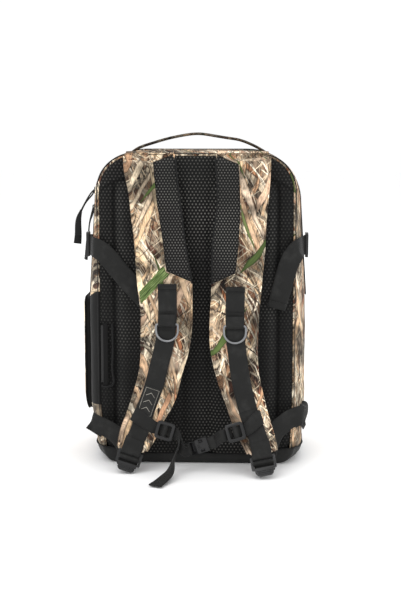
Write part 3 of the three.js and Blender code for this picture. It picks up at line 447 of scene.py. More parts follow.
def make_cloth(name, tint="#232322", pitch=0.0011, rough=0.62, coat=0.0):
    g = G(name)
    o = g.coord("Object")
    p = flat_coords(g)
    px, py, pz = g.sep(p)[0:3]
    wv = weave_height(g, g.comb(px, 0.0, py), pitch)
    n = g.noise(o, 45.0, 4.0, 0.6)
    n2 = g.noise(o, 700.0, 2.0)
    base = Vector(lin(tint))
    f = g.math("MULTIPLY_ADD", wv, 0.4, g.math("MULTIPLY", n2.outputs[0], 0.5))
    col = g.mix(f, (*(base * 0.6), 1), (*(base * 1.5), 1))
    col = g.mix(g.smooth(n.outputs[0], 0.4, 0.75), col, (*(base * 1.8), 1))
    g.put(g.b.inputs["Base Color"], col)
    g.put(g.b.inputs["Roughness"], g.math("MULTIPLY_ADD", n.outputs[0], 0.3, rough - 0.12))
    g.b.inputs["Sheen Weight"].default_value = 0.03
    g.b.inputs["Specular IOR Level"].default_value = 0.25
    b = g.bump(n.outputs[0], 0.003, 0.35)
    g.put(g.b.inputs["Normal"], g.bump(wv, 0.0003, 0.6, b))
    return g.m


def make_plastic(name, tint="#0c0c0d", rough=0.36, spec=0.45):
    g = G(name)
    o = g.coord("Object")
    n = g.noise(o, 1400.0, 2.0)
    big = g.noise(o, 70.0, 3.0)
    base = Vector(lin(tint))
    col = g.mix(big.outputs[0], (*(base * 0.75), 1), (*(base * 1.35 + Vector((0.003, 0.003, 0.003))), 1))
    g.put(g.b.inputs["Base Color"], col)
    g.put(g.b.inputs["Roughness"], g.math("MULTIPLY_ADD", big.outputs[0], 0.2, rough - 0.14))
    g.b.inputs["Specular IOR Level"].default_value = spec
    g.put(g.b.inputs["Normal"], g.bump(n.outputs[0], 0.00012, 0.5))
    return g.m


def make_steel(name, tint="#77797c", rough=0.3):
    g = G(name)
    o = g.coord("Object")
    n = g.noise(o, 1100.0, 3.0)
    big = g.noise(o, 160.0, 3.0)
    base = Vector(lin(tint))
    col = g.mix(big.outputs[0], (*(base * 0.7), 1), (*(base * 1.25), 1))
    g.put(g.b.inputs["Base Color"], col)
    g.b.inputs["Metallic"].default_value = 0.95
    g.put(g.b.inputs["Roughness"], g.math("MULTIPLY_ADD", n.outputs[0], 0.25, rough - 0.1))
    g.put(g.b.inputs["Normal"], g.bump(n.outputs[0], 0.00008, 0.5))
    return g.m


def make_zip(name):
    """Zip tape: coil teeth in a narrow strip at U = 0, woven tape beyond. UV in metres."""
    g = G(name)
    u, v, _ = g.sep(g.coord("UV"))[0:3]
    tooth = g.math("SINE", g.math("MULTIPLY", v, 2 * math.pi / 0.0016))
    strip = g.math("SUBTRACT", 1.0, g.smooth(g.math("ABSOLUTE", u), 0.0024, 0.0030))
    tape = g.math("ABSOLUTE", g.math("SINE", g.math("MULTIPLY", u, math.pi / 0.0009)))
    h = g.math("ADD", g.math("MULTIPLY", strip, g.math("MULTIPLY_ADD", tooth, 0.5, 0.6)), g.math("MULTIPLY", tape, 0.15))
    n = g.noise(g.coord("Object"), 400.0, 3.0)
    col = g.mix(g.math("MULTIPLY", strip, g.smooth(tooth, -0.4, 0.6)), (*lin("#141414"), 1), (*lin("#3a3a3b"), 1))
    col = g.mix(g.math("MULTIPLY", n.outputs[0], 0.3), col, (*lin("#2b2b2b"), 1))
    g.put(g.b.inputs["Base Color"], col)
    g.put(g.b.inputs["Roughness"], g.math("MULTIPLY_ADD", strip, -0.25, 0.7))
    g.put(g.b.inputs["Normal"], g.bump(h, 0.0006, 0.9))
    return g.m


CAMO = make_camo("camo_fabric")
MESH = make_mesh("air_mesh")
STRAPM = make_strap_mat("strap_fabric")
WEBM = make_webbing("webbing")
WEBF = make_webbing("webbing_fine", rib=0.0012)
BOOT = make_cloth("base_fabric", "#1a1a19", 0.0012, 0.55)
BIND = make_cloth("binding", "#121212", 0.0008, 0.7)
LINING = make_cloth("lining", "#3b3935", 0.0006, 0.75)
PLAST = make_plastic("black_plastic")
GRIP = make_plastic("grip_plastic", "#0b0b0c", 0.5, 0.2)
STEEL = make_steel("dark_steel", "#8a8b8d", 0.34)
SLIDER = make_steel("slider_metal", "#3c3d3f", 0.38)
ZIPM = make_zip("zip_coil")
SHEETM = make_plastic("frame_plastic", "#cfcdc6", 0.5)
SIDEF = make_cloth("side_fabric", "#0b0b0b", 0.0010, 0.85)
HANDLEF = make_camo("handle_fabric", 0.05)
FLOOR = None

# ------------------------------------------------------------ mesh helpers
def spline(t, Y, q):
    """Natural cubic through (t, Y), read at q."""
    t = np.asarray(t, float); Y = np.asarray(Y, float); q = np.asarray(q, float)
    if Y.ndim == 1:
        return spline(t, Y[:, None], q)[:, 0]
    n = len(t)
    if n == 2:
        f = ((q - t[0]) / (t[1] - t[0]))[:, None]
        return Y[0] * (1 - f) + Y[1] * f
    h = np.diff(t)
    A = np.zeros((n, n)); R = np.zeros_like(Y)
    A[0, 0] = A[-1, -1] = 1
    for i in range(1, n - 1):
        A[i, i - 1] = h[i - 1]; A[i, i] = 2 * (h[i - 1] + h[i]); A[i, i + 1] = h[i]
        R[i] = 3 * ((Y[i + 1] - Y[i]) / h[i] - (Y[i] - Y[i - 1]) / h[i - 1])
    c = np.linalg.solve(A, R)
    k = np.clip(np.searchsorted(t, q) - 1, 0, n - 2)
    d = (q - t[k])[:, None]
    hk = h[k][:, None]
    b = (Y[k + 1] - Y[k]) / hk - hk * (2 * c[k] + c[k + 1]) / 3
    dd = (c[k + 1] - c[k]) / (3 * hk)
    return Y[k] + b * d + c[k] * d ** 2 + dd * d ** 3


def chord(P):
    P = np.asarray(P, float)
    return np.concatenate([[0], np.cumsum(np.linalg.norm(np.diff(P, axis=0), axis=1))])


def unit(v):
    v = np.asarray(v, float)
    L = np.linalg.norm(v, axis=-1, keepdims=True)
    return v / np.where(L < 1e-12, 1, L)


def obj(name, V, F, mats, uv=None, fmat=None, smooth=True, attrs=None):
    me = bpy.data.meshes.new(name)
    me.from_pydata([tuple(p) for p in np.asarray(V, float) * MM], [], [tuple(int(i) for i in f) for f in F])
    me.validate()
    o = bpy.data.objects.new(name, me)
    scene.collection.objects.link(o)
    for m in (mats if isinstance(mats, (list, tuple)) else [mats]):
        me.materials.append(m)
    if uv is not None:
        lay = me.uv_layers.new(name="UVMap")
        for lp in me.loops:
            lay.data[lp.index].uv = uv[lp.vertex_index]
    if fmat is not None:
        for p, k in zip(me.polygons, fmat):
            p.material_index = int(k)
    if attrs:
        for k, a in attrs.items():
            at = me.attributes.new(k, "FLOAT", "POINT")
            at.data.foreach_set("value", np.asarray(a, np.float32))
    for p in me.polygons:
        p.use_smooth = smooth
    me.update()
    return o


def outward(o):
    bm = bmesh.new(); bm.from_mesh(o.data)
    bmesh.ops.recalc_face_normals(bm, faces=bm.faces)
    bm.to_mesh(o.data); bm.free()
    return o


def bevel(o, width, segs=2, angle=40):
    m = o.modifiers.new("bevel", "BEVEL")
    m.width = width * MM
    m.segments = segs
    m.limit_method = "ANGLE"
    m.angle_limit = math.radians(angle)
    return bake(o)


def subdiv(o, lv=1):
    m = o.modifiers.new("sub", "SUBSURF")
    m.levels = m.render_levels = lv
    return bake(o)


def bake(o):
    dg = bpy.context.evaluated_depsgraph_get()
    me = bpy.data.meshes.new_from_object(o.evaluated_get(dg), preserve_all_data_layers=True, depsgraph=dg)
    old = o.data
    o.modifiers.clear()
    o.data = me
    me.name = old.name
    return o


def join(name, parts):
    """Several meshes made into one object."""
    bm = bmesh.new()
    mats, V, F, FM, UV = [], [], [], [], []
    base = 0
    for p in parts:
        me = p.data
        idx = []
        for m in me.materials:
            if m not in mats:
                mats.append(m)
            idx.append(mats.index(m))
        co = np.empty(len(me.vertices) * 3); me.vertices.foreach_get("co", co)
        V.append(co.reshape(-1, 3) / MM)
        lay = me.uv_layers[0] if me.uv_layers else None
        uvv = np.zeros((len(me.vertices), 2))
        if lay:
            for lp in me.loops:
                uvv[lp.vertex_index] = lay.data[lp.index].uv
        UV.append(uvv)
        for q in me.polygons:
            F.append([i + base for i in q.vertices])
            FM.append(idx[q.material_index] if idx else 0)
        base += len(me.vertices)
        bpy.data.objects.remove(p)
    bm.free()
    return obj(name, np.vstack(V), F, mats, uv=np.vstack(UV), fmat=FM)


def quads(ni, nj, off=0, wrap_j=False, wrap_i=False):
    F = []
    for i in range(ni if wrap_i else ni - 1):
        for j in range(nj if wrap_j else nj - 1):
            a = off + i * nj + j
            b = off + i * nj + (j + 1) % nj
            c = off + ((i + 1) % ni) * nj + (j + 1) % nj
            d = off + ((i + 1) % ni) * nj + j
            F.append((a, b, c, d))
    return F


def grid_normals(P):
    du = np.gradient(P, axis=0); dv = np.gradient(P, axis=1)
    return unit(np.cross(du, dv))


def sheet_solid(name, P, t, mat, inner_mat=None, uv=None, flip=False, attrs=None):
    """Closed sheet of thickness t behind the grid P (ni, nj, 3)."""
    ni, nj, _ = P.shape
    N = grid_normals(P)
    if flip:
        N = -N
    Q = P - N * t
    V = np.vstack([P.reshape(-1, 3), Q.reshape(-1, 3)])
    n = ni * nj
    F = quads(ni, nj)
    k0 = len(F)
    F += [tuple(reversed(f)) for f in quads(ni, nj, n)]
    k1 = len(F)
    rim = [(i, 0) for i in range(ni)] + [(ni - 1, j) for j in range(1, nj)] + [(i, nj - 1) for i in range(ni - 2, -1, -1)] + [(0, j) for j in range(nj - 2, 0, -1)]
    r = [i * nj + j for i, j in rim]
    for a, b in zip(r, r[1:] + r[:1]):
        F.append((a, a + n, b + n, b))
    if uv is None:
        U = np.zeros((ni, nj)); W = np.zeros((ni, nj))
        U[:, 1:] = np.cumsum(np.linalg.norm(np.diff(P, axis=1), axis=2), axis=1)
        W[1:] = np.cumsum(np.linalg.norm(np.diff(P, axis=0), axis=2), axis=0)
        U -= U.mean(axis=1, keepdims=True)
        uv = np.stack([U, W], -1) * MM
    uvf = np.vstack([uv.reshape(-1, 2), uv.reshape(-1, 2)])
    fm = [0] * k0 + [1 if inner_mat else 0] * (k1 - k0) + [0] * (len(F) - k1)
    at = None
    if attrs:
        at = {k: np.concatenate([a.reshape(-1), a.reshape(-1)]) for k, a in attrs.items()}
    o = obj(name, V, F, [mat] + ([inner_mat] if inner_mat else []), uv=uvf, fmat=fm, attrs=at)
    return outward(o)


def ribbon(name, C, W, hw, t, mat, n_len=None, n_w=7, N=None, crown=0.0, edge=0.35, uvflip=False, sub=4):
    """Flat webbing through centres C with width directions W; smooth, thin, with rounded selvages."""
    C = np.asarray(C, float); W = unit(np.asarray(W, float))
    hw = np.asarray(hw, float) * np.ones(len(C))
    s = chord(C)
    m = n_len or max(8, int(s[-1] / 3.0))
    q = np.linspace(0, s[-1], m)
    c = spline(s, C, q); w = unit(spline(s, W, q)); h = spline(s, hw, q) if len(C) > 2 else np.interp(q, s, hw)
    tan = unit(np.gradient(c, axis=0))
    w = unit(w - tan * np.sum(w * tan, 1)[:, None])
    n = unit(np.cross(w, tan))
    xs = np.linspace(-1, 1, n_w)
    # profile loop: front from -1 to 1, back from 1 to -1, with rounded sides
    front = [(x, 0.5 * (1 - edge * abs(x) ** 6)) for x in xs]
    back = [(x, -0.5 * (1 - edge * abs(x) ** 6)) for x in xs[::-1]]
    prof = front + [(1.0 + 0.25 * t / max(h.mean(), 1), 0.0)] + back + [(-1.0 - 0.25 * t / max(h.mean(), 1), 0.0)]
    k = len(prof)
    V = []; UV = []
    L = chord(c)
    for i in range(m):
        for (x, y) in prof:
            V.append(c[i] + w[i] * h[i] * x + n[i] * (y * t + crown * (1 - min(1, abs(x)) ** 2)))
            UV.append((x * h[i] * MM, L[i] * MM))
    F = quads(m, k, wrap_j=True)
    F.append(tuple(range(k)))
    F.append(tuple(reversed(range((m - 1) * k, m * k))))
    return outward(obj(name, V, F, mat, uv=UV))


def tube(name, C, r, mat, seg=10, closed=False, n=None, smooth_path=True, flat=None):
    """Round tube along a path; r may vary; flat = (k, direction) squashes it."""
    C = np.asarray(C, float)
    if smooth_path:
        P = np.vstack([C, C[:1]]) if closed else C
        s = chord(P)
        m = n or max(12, int(s[-1] / 2.0))
        if closed:
            ext = np.vstack([C[-3:], C, C[:4]])
            se = chord(ext); s0 = se[3]
            q = s0 + np.linspace(0, s[-1], m, endpoint=False)
            c = spline(se, ext, q)
            rr = np.interp(np.linspace(0, 1, m), np.linspace(0, 1, len(C)), r * np.ones(len(C)))
        else:
            q = np.linspace(0, s[-1], m)
            c = spline(s, C, q)
            rr = np.interp(q, s, r * np.ones(len(C)))
    else:
        c = C; m = len(c); rr = r * np.ones(m)
    if closed:
        tan = unit(np.roll(c, -1, 0) - np.roll(c, 1, 0))
    else:
        tan = unit(np.gradient(c, axis=0))
    up = np.array([0.0, 0.0, 1.0]) if abs(tan[0][2]) < 0.9 else np.array([0.0, 1.0, 0.0])
    a = unit(np.cross(tan[0], up)); A = [a]
    for i in range(1, m):
        a = unit(A[-1] - tan[i] * np.dot(A[-1], tan[i])); A.append(a)
    A = np.array(A); B = np.cross(tan, A)
    if closed:
        # spread the closing twist over the loop
        e = unit(A[-1] - tan[0] * np.dot(A[-1], tan[0]))
        ang = math.atan2(np.dot(np.cross(e, A[0]), tan[0]), np.dot(e, A[0]))
        th = np.linspace(0, ang, m)[:, None]
        A, B = A * np.cos(th) + B * np.sin(th), B * np.cos(th) - A * np.sin(th)
    V = []; UV = []
    L = chord(c)
    for i in range(m):
        for j in range(seg):
            t = 2 * math.pi * j / seg
            d = A[i] * math.cos(t) + B[i] * math.sin(t)
            if flat is not None:
                f, ax = flat
                ax = np.asarray(ax, float)
                d = d - ax * np.dot(d, ax) * (1 - f)
            V.append(c[i] + d * rr[i])
            UV.append((j / seg * 2 * math.pi * rr[i] * MM, L[i] * MM))
    F = quads(m, seg, wrap_j=True, wrap_i=closed)
    if not closed:
        F.append(tuple(range(seg)))
        F.append(tuple(reversed(range((m - 1) * seg, m * seg))))
    return outward(obj(name, V, F, mat, uv=UV))


def prism(name, poly, h0, h1, frame_, mat, holes=(), bev=0.5, segs=2, smooth=True):
    """Outline poly in (a, b) of a local frame (o, ex, ey, ez), from ez*h0 to ez*h1, with through holes."""
    o, ex, ey, ez = [np.asarray(v, float) for v in frame_]
    crv = bpy.data.curves.new(name, "CURVE")
    crv.dimensions = "2D"
    crv.fill_mode = "BOTH"
    crv.extrude = abs(h1 - h0) / 2 * MM
    for k, loop in enumerate([poly] + list(holes)):
        sp = crv.splines.new("POLY")
        sp.points.add(len(loop) - 1)
        for i, (a, b) in enumerate(loop):
            sp.points[i].co = (a * MM, b * MM, 0, 1)
        sp.use_cyclic_u = True
    tmp = bpy.data.objects.new(name + "_c", crv)
    scene.collection.objects.link(tmp)
    dg = bpy.context.evaluated_depsgraph_get()
    me = bpy.data.meshes.new_from_object(tmp.evaluated_get(dg))
    bpy.data.objects.remove(tmp)
    bm = bmesh.new(); bm.from_mesh(me)
    bmesh.ops.remove_doubles(bm, verts=bm.verts, dist=1e-7)
    bmesh.ops.dissolve_limit(bm, angle_limit=0.01, verts=bm.verts, edges=bm.edges)
    bm.to_mesh(me); bm.free()
    mid = (h0 + h1) / 2
    M = Matrix(((ex[0], ey[0], ez[0], (o + ez * mid)[0] * MM), (ex[1], ey[1], ez[1], (o + ez * mid)[1] * MM), (ex[2], ey[2], ez[2], (o + ez * mid)[2] * MM), (0, 0, 0, 1)))
    me.transform(M)
    me.name = name
    ob = bpy.data.objects.new(name, me)
    scene.collection.objects.link(ob)
    me.materials.clear(); me.materials.append(mat)
    outward(ob)
    if bev:
        bevel(ob, bev, segs)
    for p in ob.data.polygons:
        p.use_smooth = smooth
    if smooth:
        shade_auto(ob)
    return ob


def shade_auto(o, deg=38):
    me = o.data
    bm = bmesh.new(); bm.from_mesh(me)
    for e in bm.edges:
        if len(e.link_faces) == 2:
            e.smooth = e.calc_face_angle(0) < math.radians(deg)
    bm.to_mesh(me); bm.free()
    return o


def rrect(w, h, r, n=5, cx=0, cy=0):
    out = []
    for sx, sy, a0 in ((1, 1, 0), (-1, 1, 90), (-1, -1, 180), (1, -1, 270)):
        for i in range(n + 1):
            t = math.radians(a0 + 90 * i / n)
            out.append((cx + sx * (w / 2 - r) + r * math.cos(t), cy + sy * (h / 2 - r) + r * math.sin(t)))
    return out


def lean(o):
    """Draw the foot of the bag in a little: more at the side with the pocket than at the other."""
    me = o.data
    n = len(me.vertices)
    a = np.empty(n * 3); me.vertices.foreach_get("co", a)
    a = a.reshape(-1, 3)
    x, z = a[:, 0] / MM, a[:, 2] / MM
    def sm(v):
        v = np.clip(v, 0, 1)
        return v * v * (3 - 2 * v)
    k = sm((98 - z) / 72.0)
    a[:, 0] += (9.0 * k * sm((-x - 118) / 38.0) - 3.2 * k * sm((x - 118) / 38.0)) * MM
    me.vertices.foreach_set("co", a.ravel())
    me.update()
    return o


def put(o, body, *nodes, slot=None):
    if body == "pack":
        lean(o)
    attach(o, body)
    if nodes:
        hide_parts(*nodes)
    return o


def nz(x, y, z, s=1.0, seed=0.0):
    return noise.noise(Vector((x * s + seed, y * s + seed * 1.7, z * s - seed)))

# =================================================================== shell
HALF_W = [[-88, 149.0], [-84, 153.0], [-78, 158.0], [-60, 165.4], [-45, 168.2], [-30, 168.0], [0, 169], [40, 167.5], [70, 162], [84, 154.5], [89, 150]]
TOP_Z = [[-88, 476.0], [-84, 478.6], [-78, 480.6], [-60, 483.2], [-45, 484.2], [-30, 482.8], [0, 480.8], [40, 476.5], [70, 468.5], [84, 461.0], [89, 457.0]]
R_TOPS = [[-88, 54], [-78, 64], [-60, 78], [-45, 82], [-30, 80], [0, 76], [40, 64], [70, 50], [89, 43]]
_h = np.array(HALF_W, float); _t = np.array(TOP_Z, float)
halfw = lambda y: spline(_h[:, 0], _h[:, 1], np.atleast_1d(y))
topz = lambda y: spline(_t[:, 0], _t[:, 1], np.atleast_1d(y))
_r = np.array(R_TOPS, float)
rtop = lambda y: float(spline(_r[:, 0], _r[:, 1], np.atleast_1d(y))[0])
R_TOP, R_BASE = 54.0, 28.0


def taper(y, z):
    """The sides lean in towards the top: by this much at depth y and height z."""
    f = min(1.0, max(0.0, (z - 256.0) / 154.0))
    g = np.interp(y, [-88, -60, 40, 84], [0, 1, 1, 0])
    return 10.0 * f * g



def arch_rows(y, z0, n_side=34, n_arc=12, n_top=40, z_cap=None):
    """Points of the bag's outline at depth y, from (left, z0) over the top to (right, z0), with their outward normals."""
    a = float(halfw(y)[0]); T = float(topz(y)[0]); r = rtop(y)
    P, N = [], []
    for z in np.linspace(z0, T - r, n_side, endpoint=False):
        k = 0.0
        if z < R_BASE:
            k = R_BASE - math.sqrt(max(0.0, R_BASE ** 2 - (R_BASE - z) ** 2))
        P.append((-a + taper(y, z) + k, z)); N.append((-1, 0))
    a -= taper(y, T - r)
    for t in np.linspace(math.pi, math.pi / 2, n_arc, endpoint=False):
        P.append((-a + r + r * math.cos(t), T - r + r * math.sin(t))); N.append((math.cos(t), math.sin(t)))
    for x in np.linspace(-a + r, a - r, n_top):
        P.append((x, T)); N.append((0, 1))
    for t in np.linspace(math.pi / 2, 0, n_arc + 1)[1:]:
        P.append((a - r + r * math.cos(t), T - r + r * math.sin(t))); N.append((math.cos(t), math.sin(t)))
    a = float(halfw(y)[0])
    for z in np.linspace(T - r, z0, n_side + 1)[1:]:
        k = 0.0
        if z < R_BASE:
            k = R_BASE - math.sqrt(max(0.0, R_BASE ** 2 - (R_BASE - z) ** 2))
        P.append((a - taper(y, z) - k, z)); N.append((1, 0))
    return np.array(P), np.array(N, float)


def arch_sheet(name, ys, z0, mat, t=3.0, amp=1.1, seed=0.0, fade=None, pull=None):
    G_, M_ = [], []
    for y in ys:
        p, n = arch_rows(y, z0)
        G_.append(p); M_.append(n)
    out = np.zeros((len(ys), len(G_[0]), 3))
    for i, y in enumerate(ys):
        for j in range(len(G_[0])):
            x, z = G_[i][j]; nx, nzv = M_[i][j]
            e = min(1.0, (i if pull is None else i) / 2.5, (len(ys) - 1 - i) / 2.5)
            e = max(0.0, e)
            w = nz(x, y, z, 0.020, seed) * amp + nz(x * 0.5, y * 2.0, z, 0.055, seed + 9) * amp * 0.45
            # long folds that hang down the side walls
            d = w * e
            out[i, j] = (x + nx * d, y, z + nzv * d)
    return sheet_solid(name, out.transpose(1, 0, 2), t, mat, LINING, flip=False)


gusset = arch_sheet("gusset", np.concatenate([np.linspace(-87.5, -76, 6), np.linspace(-72, -31.2, 12)]), 20.0, CAMO, seed=3.1)
gusset.data.materials.append(SIDEF)
for _p in gusset.data.polygons:
    _c = _p.center / MM
    if _c.x < -140 and 92 < _c.z < 264 + 8 * math.sin(_c.y * 0.05) and _p.material_index == 0:
        _p.material_index = len(gusset.data.materials) - 1
put(gusset, "pack", "gusset_left", "gusset_right", "gusset_top", slot="camo_fabric")
lid_g = arch_sheet("lid_gusset", np.concatenate([np.linspace(-28.8, 66, 20), np.linspace(70, 88.5, 7)]), 257.2, CAMO, amp=1.3, seed=7.7)
put(lid_g, "lid", "lid_left", "lid_right", "lid_top", slot="camo_fabric")


def side_sheet(name, s, ys, z0, z1, mat, seed, node_):
    zs = np.linspace(z0, z1, 48)
    P = np.zeros((len(zs), len(ys), 3))
    for i, z in enumerate(zs):
        for j, y in enumerate(ys):
            a = float(halfw(y)[0])
            k = R_BASE - math.sqrt(max(0.0, R_BASE ** 2 - (R_BASE - z) ** 2)) if z < R_BASE else 0.0
            e = min(1.0, i / 3, (len(zs) - 1 - i) / 3, j / 2, (len(ys) - 1 - j) / 2)
            w = (nz(0, y, z, 0.018, seed) * 1.6 + nz(0, y * 0.6, z * 1.6, 0.05, seed + 4) * 0.7) * e
            P[i, j] = (s * (a - k + w), y, z)
    o = sheet_solid(name, P, 3.0, mat, LINING, flip=(s > 0))
    return put(o, "pack", node_, slot="camo_fabric")


ys_low = np.concatenate([np.linspace(-31.0, 66, 20), np.linspace(70, 88.5, 7)])
side_sheet("side_wall_l", -1, ys_low, 20.0, 255.4, CAMO, 1.3, "side_wall_left")
side_sheet("side_wall_r", 1, ys_low, 20.0, 255.4, CAMO, 5.9, "side_wall_right")


def panel_half(z, half, z0, z1, rt, rb):
    if z > z1 - rt:
        return half - rt + math.sqrt(max(0.0, rt ** 2 - (z - z1 + rt) ** 2))
    if z < z0 + rb:
        return half - rb + math.sqrt(max(0.0, rb ** 2 - (z0 + rb - z) ** 2))
    return half


def panel_rows(z0, z1, rt, rb, step=3.0):
    zs = []
    if rb > 1:
        zs += [z0 + rb * (1 - math.cos(t)) for t in np.linspace(0, math.pi / 2, 14)]
    else:
        zs += [z0]
    a, b = z0 + (rb if rb > 1 else 0), z1 - (rt if rt > 1 else 0)
    zs += list(np.linspace(a, b, int((b - a) / step) + 1))[1:]
    if rt > 1:
        zs += [z1 - rt + rt * math.sin(t) for t in np.linspace(0, math.pi / 2, 16)][1:]
    return zs


def panel(name, half, z0, z1, rt, rb, depth, ynorm, mat, t=4.0, nx=100, inner=LINING, step=3.0):
    """Row-based panel: depth(x, z, d) gives y; d is the distance in from the outline."""
    zs = panel_rows(z0, z1, rt, rb, step)
    ss = np.sin(np.linspace(-1, 1, nx + 1) * math.pi / 2) * 0.35 + np.linspace(-1, 1, nx + 1) * 0.65
    P = np.zeros((len(zs), nx + 1, 3))
    for i, z in enumerate(zs):
        a = panel_half(z, half, z0, z1, rt, rb)
        for j, s in enumerate(ss):
            x = a * s
            # distance to the rounded outline
            dx = half - abs(x)
            dt, db = z1 - z, z - z0
            d = min(dx, dt, db)
            if z > z1 - rt and abs(x) > half - rt and rt > 1:
                d = min(d, rt - math.hypot(abs(x) - half + rt, z - z1 + rt))
            if z < z0 + rb and abs(x) > half - rb and rb > 1:
                d = min(d, rb - math.hypot(abs(x) - half + rb, z0 + rb - z))
            P[i, j] = (x, depth(x, z, max(0.0, d)), z)
    return sheet_solid(name, P, t, mat, inner, flip=(ynorm < 0))


def gauss(v, w):
    return math.exp(-(v / w) ** 2)


def sstep(v, a, b):
    t = min(1.0, max(0.0, (v - a) / (b - a)))
    return t * t * (3 - 2 * t)


def zone_dist(x, z, x0, x1, z0, z1, r):
    """Signed distance inside a rounded rectangle (positive inside)."""
    cx, cz = (x0 + x1) / 2, (z0 + z1) / 2
    qx, qz = abs(x - cx) - (x1 - x0) / 2 + r, abs(z - cz) - (z1 - z0) / 2 + r
    return -(math.hypot(max(qx, 0), max(qz, 0)) + min(max(qx, qz), 0) - r)


def back_depth(x, z, d):
    y = -89.6
    y += 7.5 * (1 - math.sqrt(1 - (1 - min(1.0, d / 13.0)) ** 2))
    lz = zone_dist(x, z, -125, -20, -40, 439, 26)
    rz = zone_dist(x, z, 20, 125, -40, 439, 26)
    pad = max(sstep(lz, 1.0, 15.0), sstep(rz, 1.0, 15.0))
    y -= 5.2 * pad
    y += 2.6 * gauss(lz, 2.4) + 2.6 * gauss(rz, 2.4)
    y -= 1.2 * gauss(abs(x) - 136, 9.0) * sstep(d, 3, 12)
    y += (nz(x, 0, z, 0.016, 2.2) * 0.7 + nz(x, 0, z, 0.045, 5.1) * 0.3) * sstep(d, 4, 20)
    # slot pocket on the left edge
    sd = zone_dist(x, z, -147, -128.5, 124, 219, 3)
    y += 3.0 * sstep(sd, -0.6, 2.4)
    return y


back = panel("back_panel_pad", 149.5, 14.0, 476.5, R_TOP, 26.0, back_depth, -1, MESH, t=5.0, nx=116, step=2.8)
put(back, "pack", "back_panel", slot="mesh_fabric")

# welt, zip and flap edge of the slot pocket
slot_zip = ribbon("slot_zip", [(-141.0, -89.4, 127), (-141.0, -89.6, 172), (-141.0, -89.4, 216)], [(1, 0, 0)] * 3, 5.2, 1.2, ZIPM)
put(slot_zip, "pack", slot="zip_coil")
welt = tube("slot_welt", [(-128.5, -92.6, 219), (-128.0, -93.4, 200), (-128.0, -93.6, 172), (-128.0, -93.4, 140), (-128.8, -92.6, 124), (-134, -92.2, 121), (-146, -90.8, 121)], 1.5, BIND, seg=8)
put(welt, "pack", slot="base_fabric")
garage = ribbon("slot_flap", [(-139.6, -91.2, 123), (-139.2, -91.9, 172), (-139.6, -91.2, 220)], [(1, 0, 0.0)] * 3, 3.4, 1.3, SIDEF)
put(garage, "pack", slot="base_fabric")


def front_depth(y0, crown, half, z0, z1):
    def f(x, z, d):
        y = y0 - 7.0 * (1 - math.sqrt(1 - (1 - min(1.0, d / 11.0)) ** 2))
        u = 1 - (x / half) ** 2
        v = 1 - ((z - (z0 + z1) / 2) / ((z1 - z0) / 2)) ** 2
        y += crown * u * (0.35 + 0.65 * max(0, v))
        y += (nz(x, 3, z, 0.015, 8.8) * 1.0 + nz(x, 3, z, 0.05, 1.1) * 0.4) * sstep(d, 4, 18)
        return y
    return f


lidf = panel("lid_front_panel", 149.5, 257.0, 457.0, 42.0, 0.0, front_depth(92.0, 1.6, 149.5, 257, 457), 1, CAMO, t=3.0, nx=70, step=4.0)
put(lidf, "lid", "lid_front", slot="camo_fabric")
lowf = panel("front_lower_panel", 149.5, 20.0, 255.4, 0.0, 6.0, front_depth(92.0, 1.2, 149.5, 20, 255), 1, CAMO, t=3.0, nx=70, step=4.0)
put(lowf, "pack", "front_wall", slot="camo_fabric")

# piping along the seams between gusset and panels
def outline(half, z0, z1, rt, y, n=10, closed_bottom=False):
    pts = [(-half, y, z) for z in np.linspace(z0, z1 - rt, 12)]
    pts += [(-half + rt + rt * math.cos(t), y, z1 - rt + rt * math.sin(t)) for t in np.linspace(math.pi, math.pi / 2, n)[1:]]
    pts += [(x, y, z1) for x in np.linspace(-half + rt, half - rt, 14)[1:]]
    pts += [(half - rt + rt * math.cos(t), y, z1 - rt + rt * math.sin(t)) for t in np.linspace(math.pi / 2, 0, n)[1:]]
    pts += [(half, y, z) for z in np.linspace(z1 - rt, z0, 12)[1:]]
    return pts


pip1 = tube("back_piping", outline(150.4, 20, 477.2, 54.6, -85.2), 1.4, BIND, seg=8, n=300, smooth_path=True)
put(pip1, "pack", slot="base_fabric")
pip2 = tube("lid_piping", outline(150.6, 258, 458.2, 43.0, 88.0), 2.2, BIND, seg=8, n=220)
put(pip2, "lid", slot="base_fabric")
for s in (-1, 1):
    p = tube("front_piping_" + ("l" if s < 0 else "r"), [(s * 150.6, 88.0, z) for z in np.linspace(22, 254, 12)], 2.2, BIND, seg=8)
    put(p, "pack", slot="base_fabric")
# hems along the fold line of the lid
for nm, body, z, sgn in (("fold_hem_upper", "lid", 260.6, 1), ("fold_hem_lower", "pack", 251.6, -1)):
    o = ribbon(nm, [(-146, 90.6, z), (-100, 92.5, z), (0, 93.4, z), (100, 92.5, z), (146, 90.6, z)], [(0, 0, 1)] * 5, 2.2, 1.0, WEBM, n_len=60)
    put(o, body, slot="webbing")

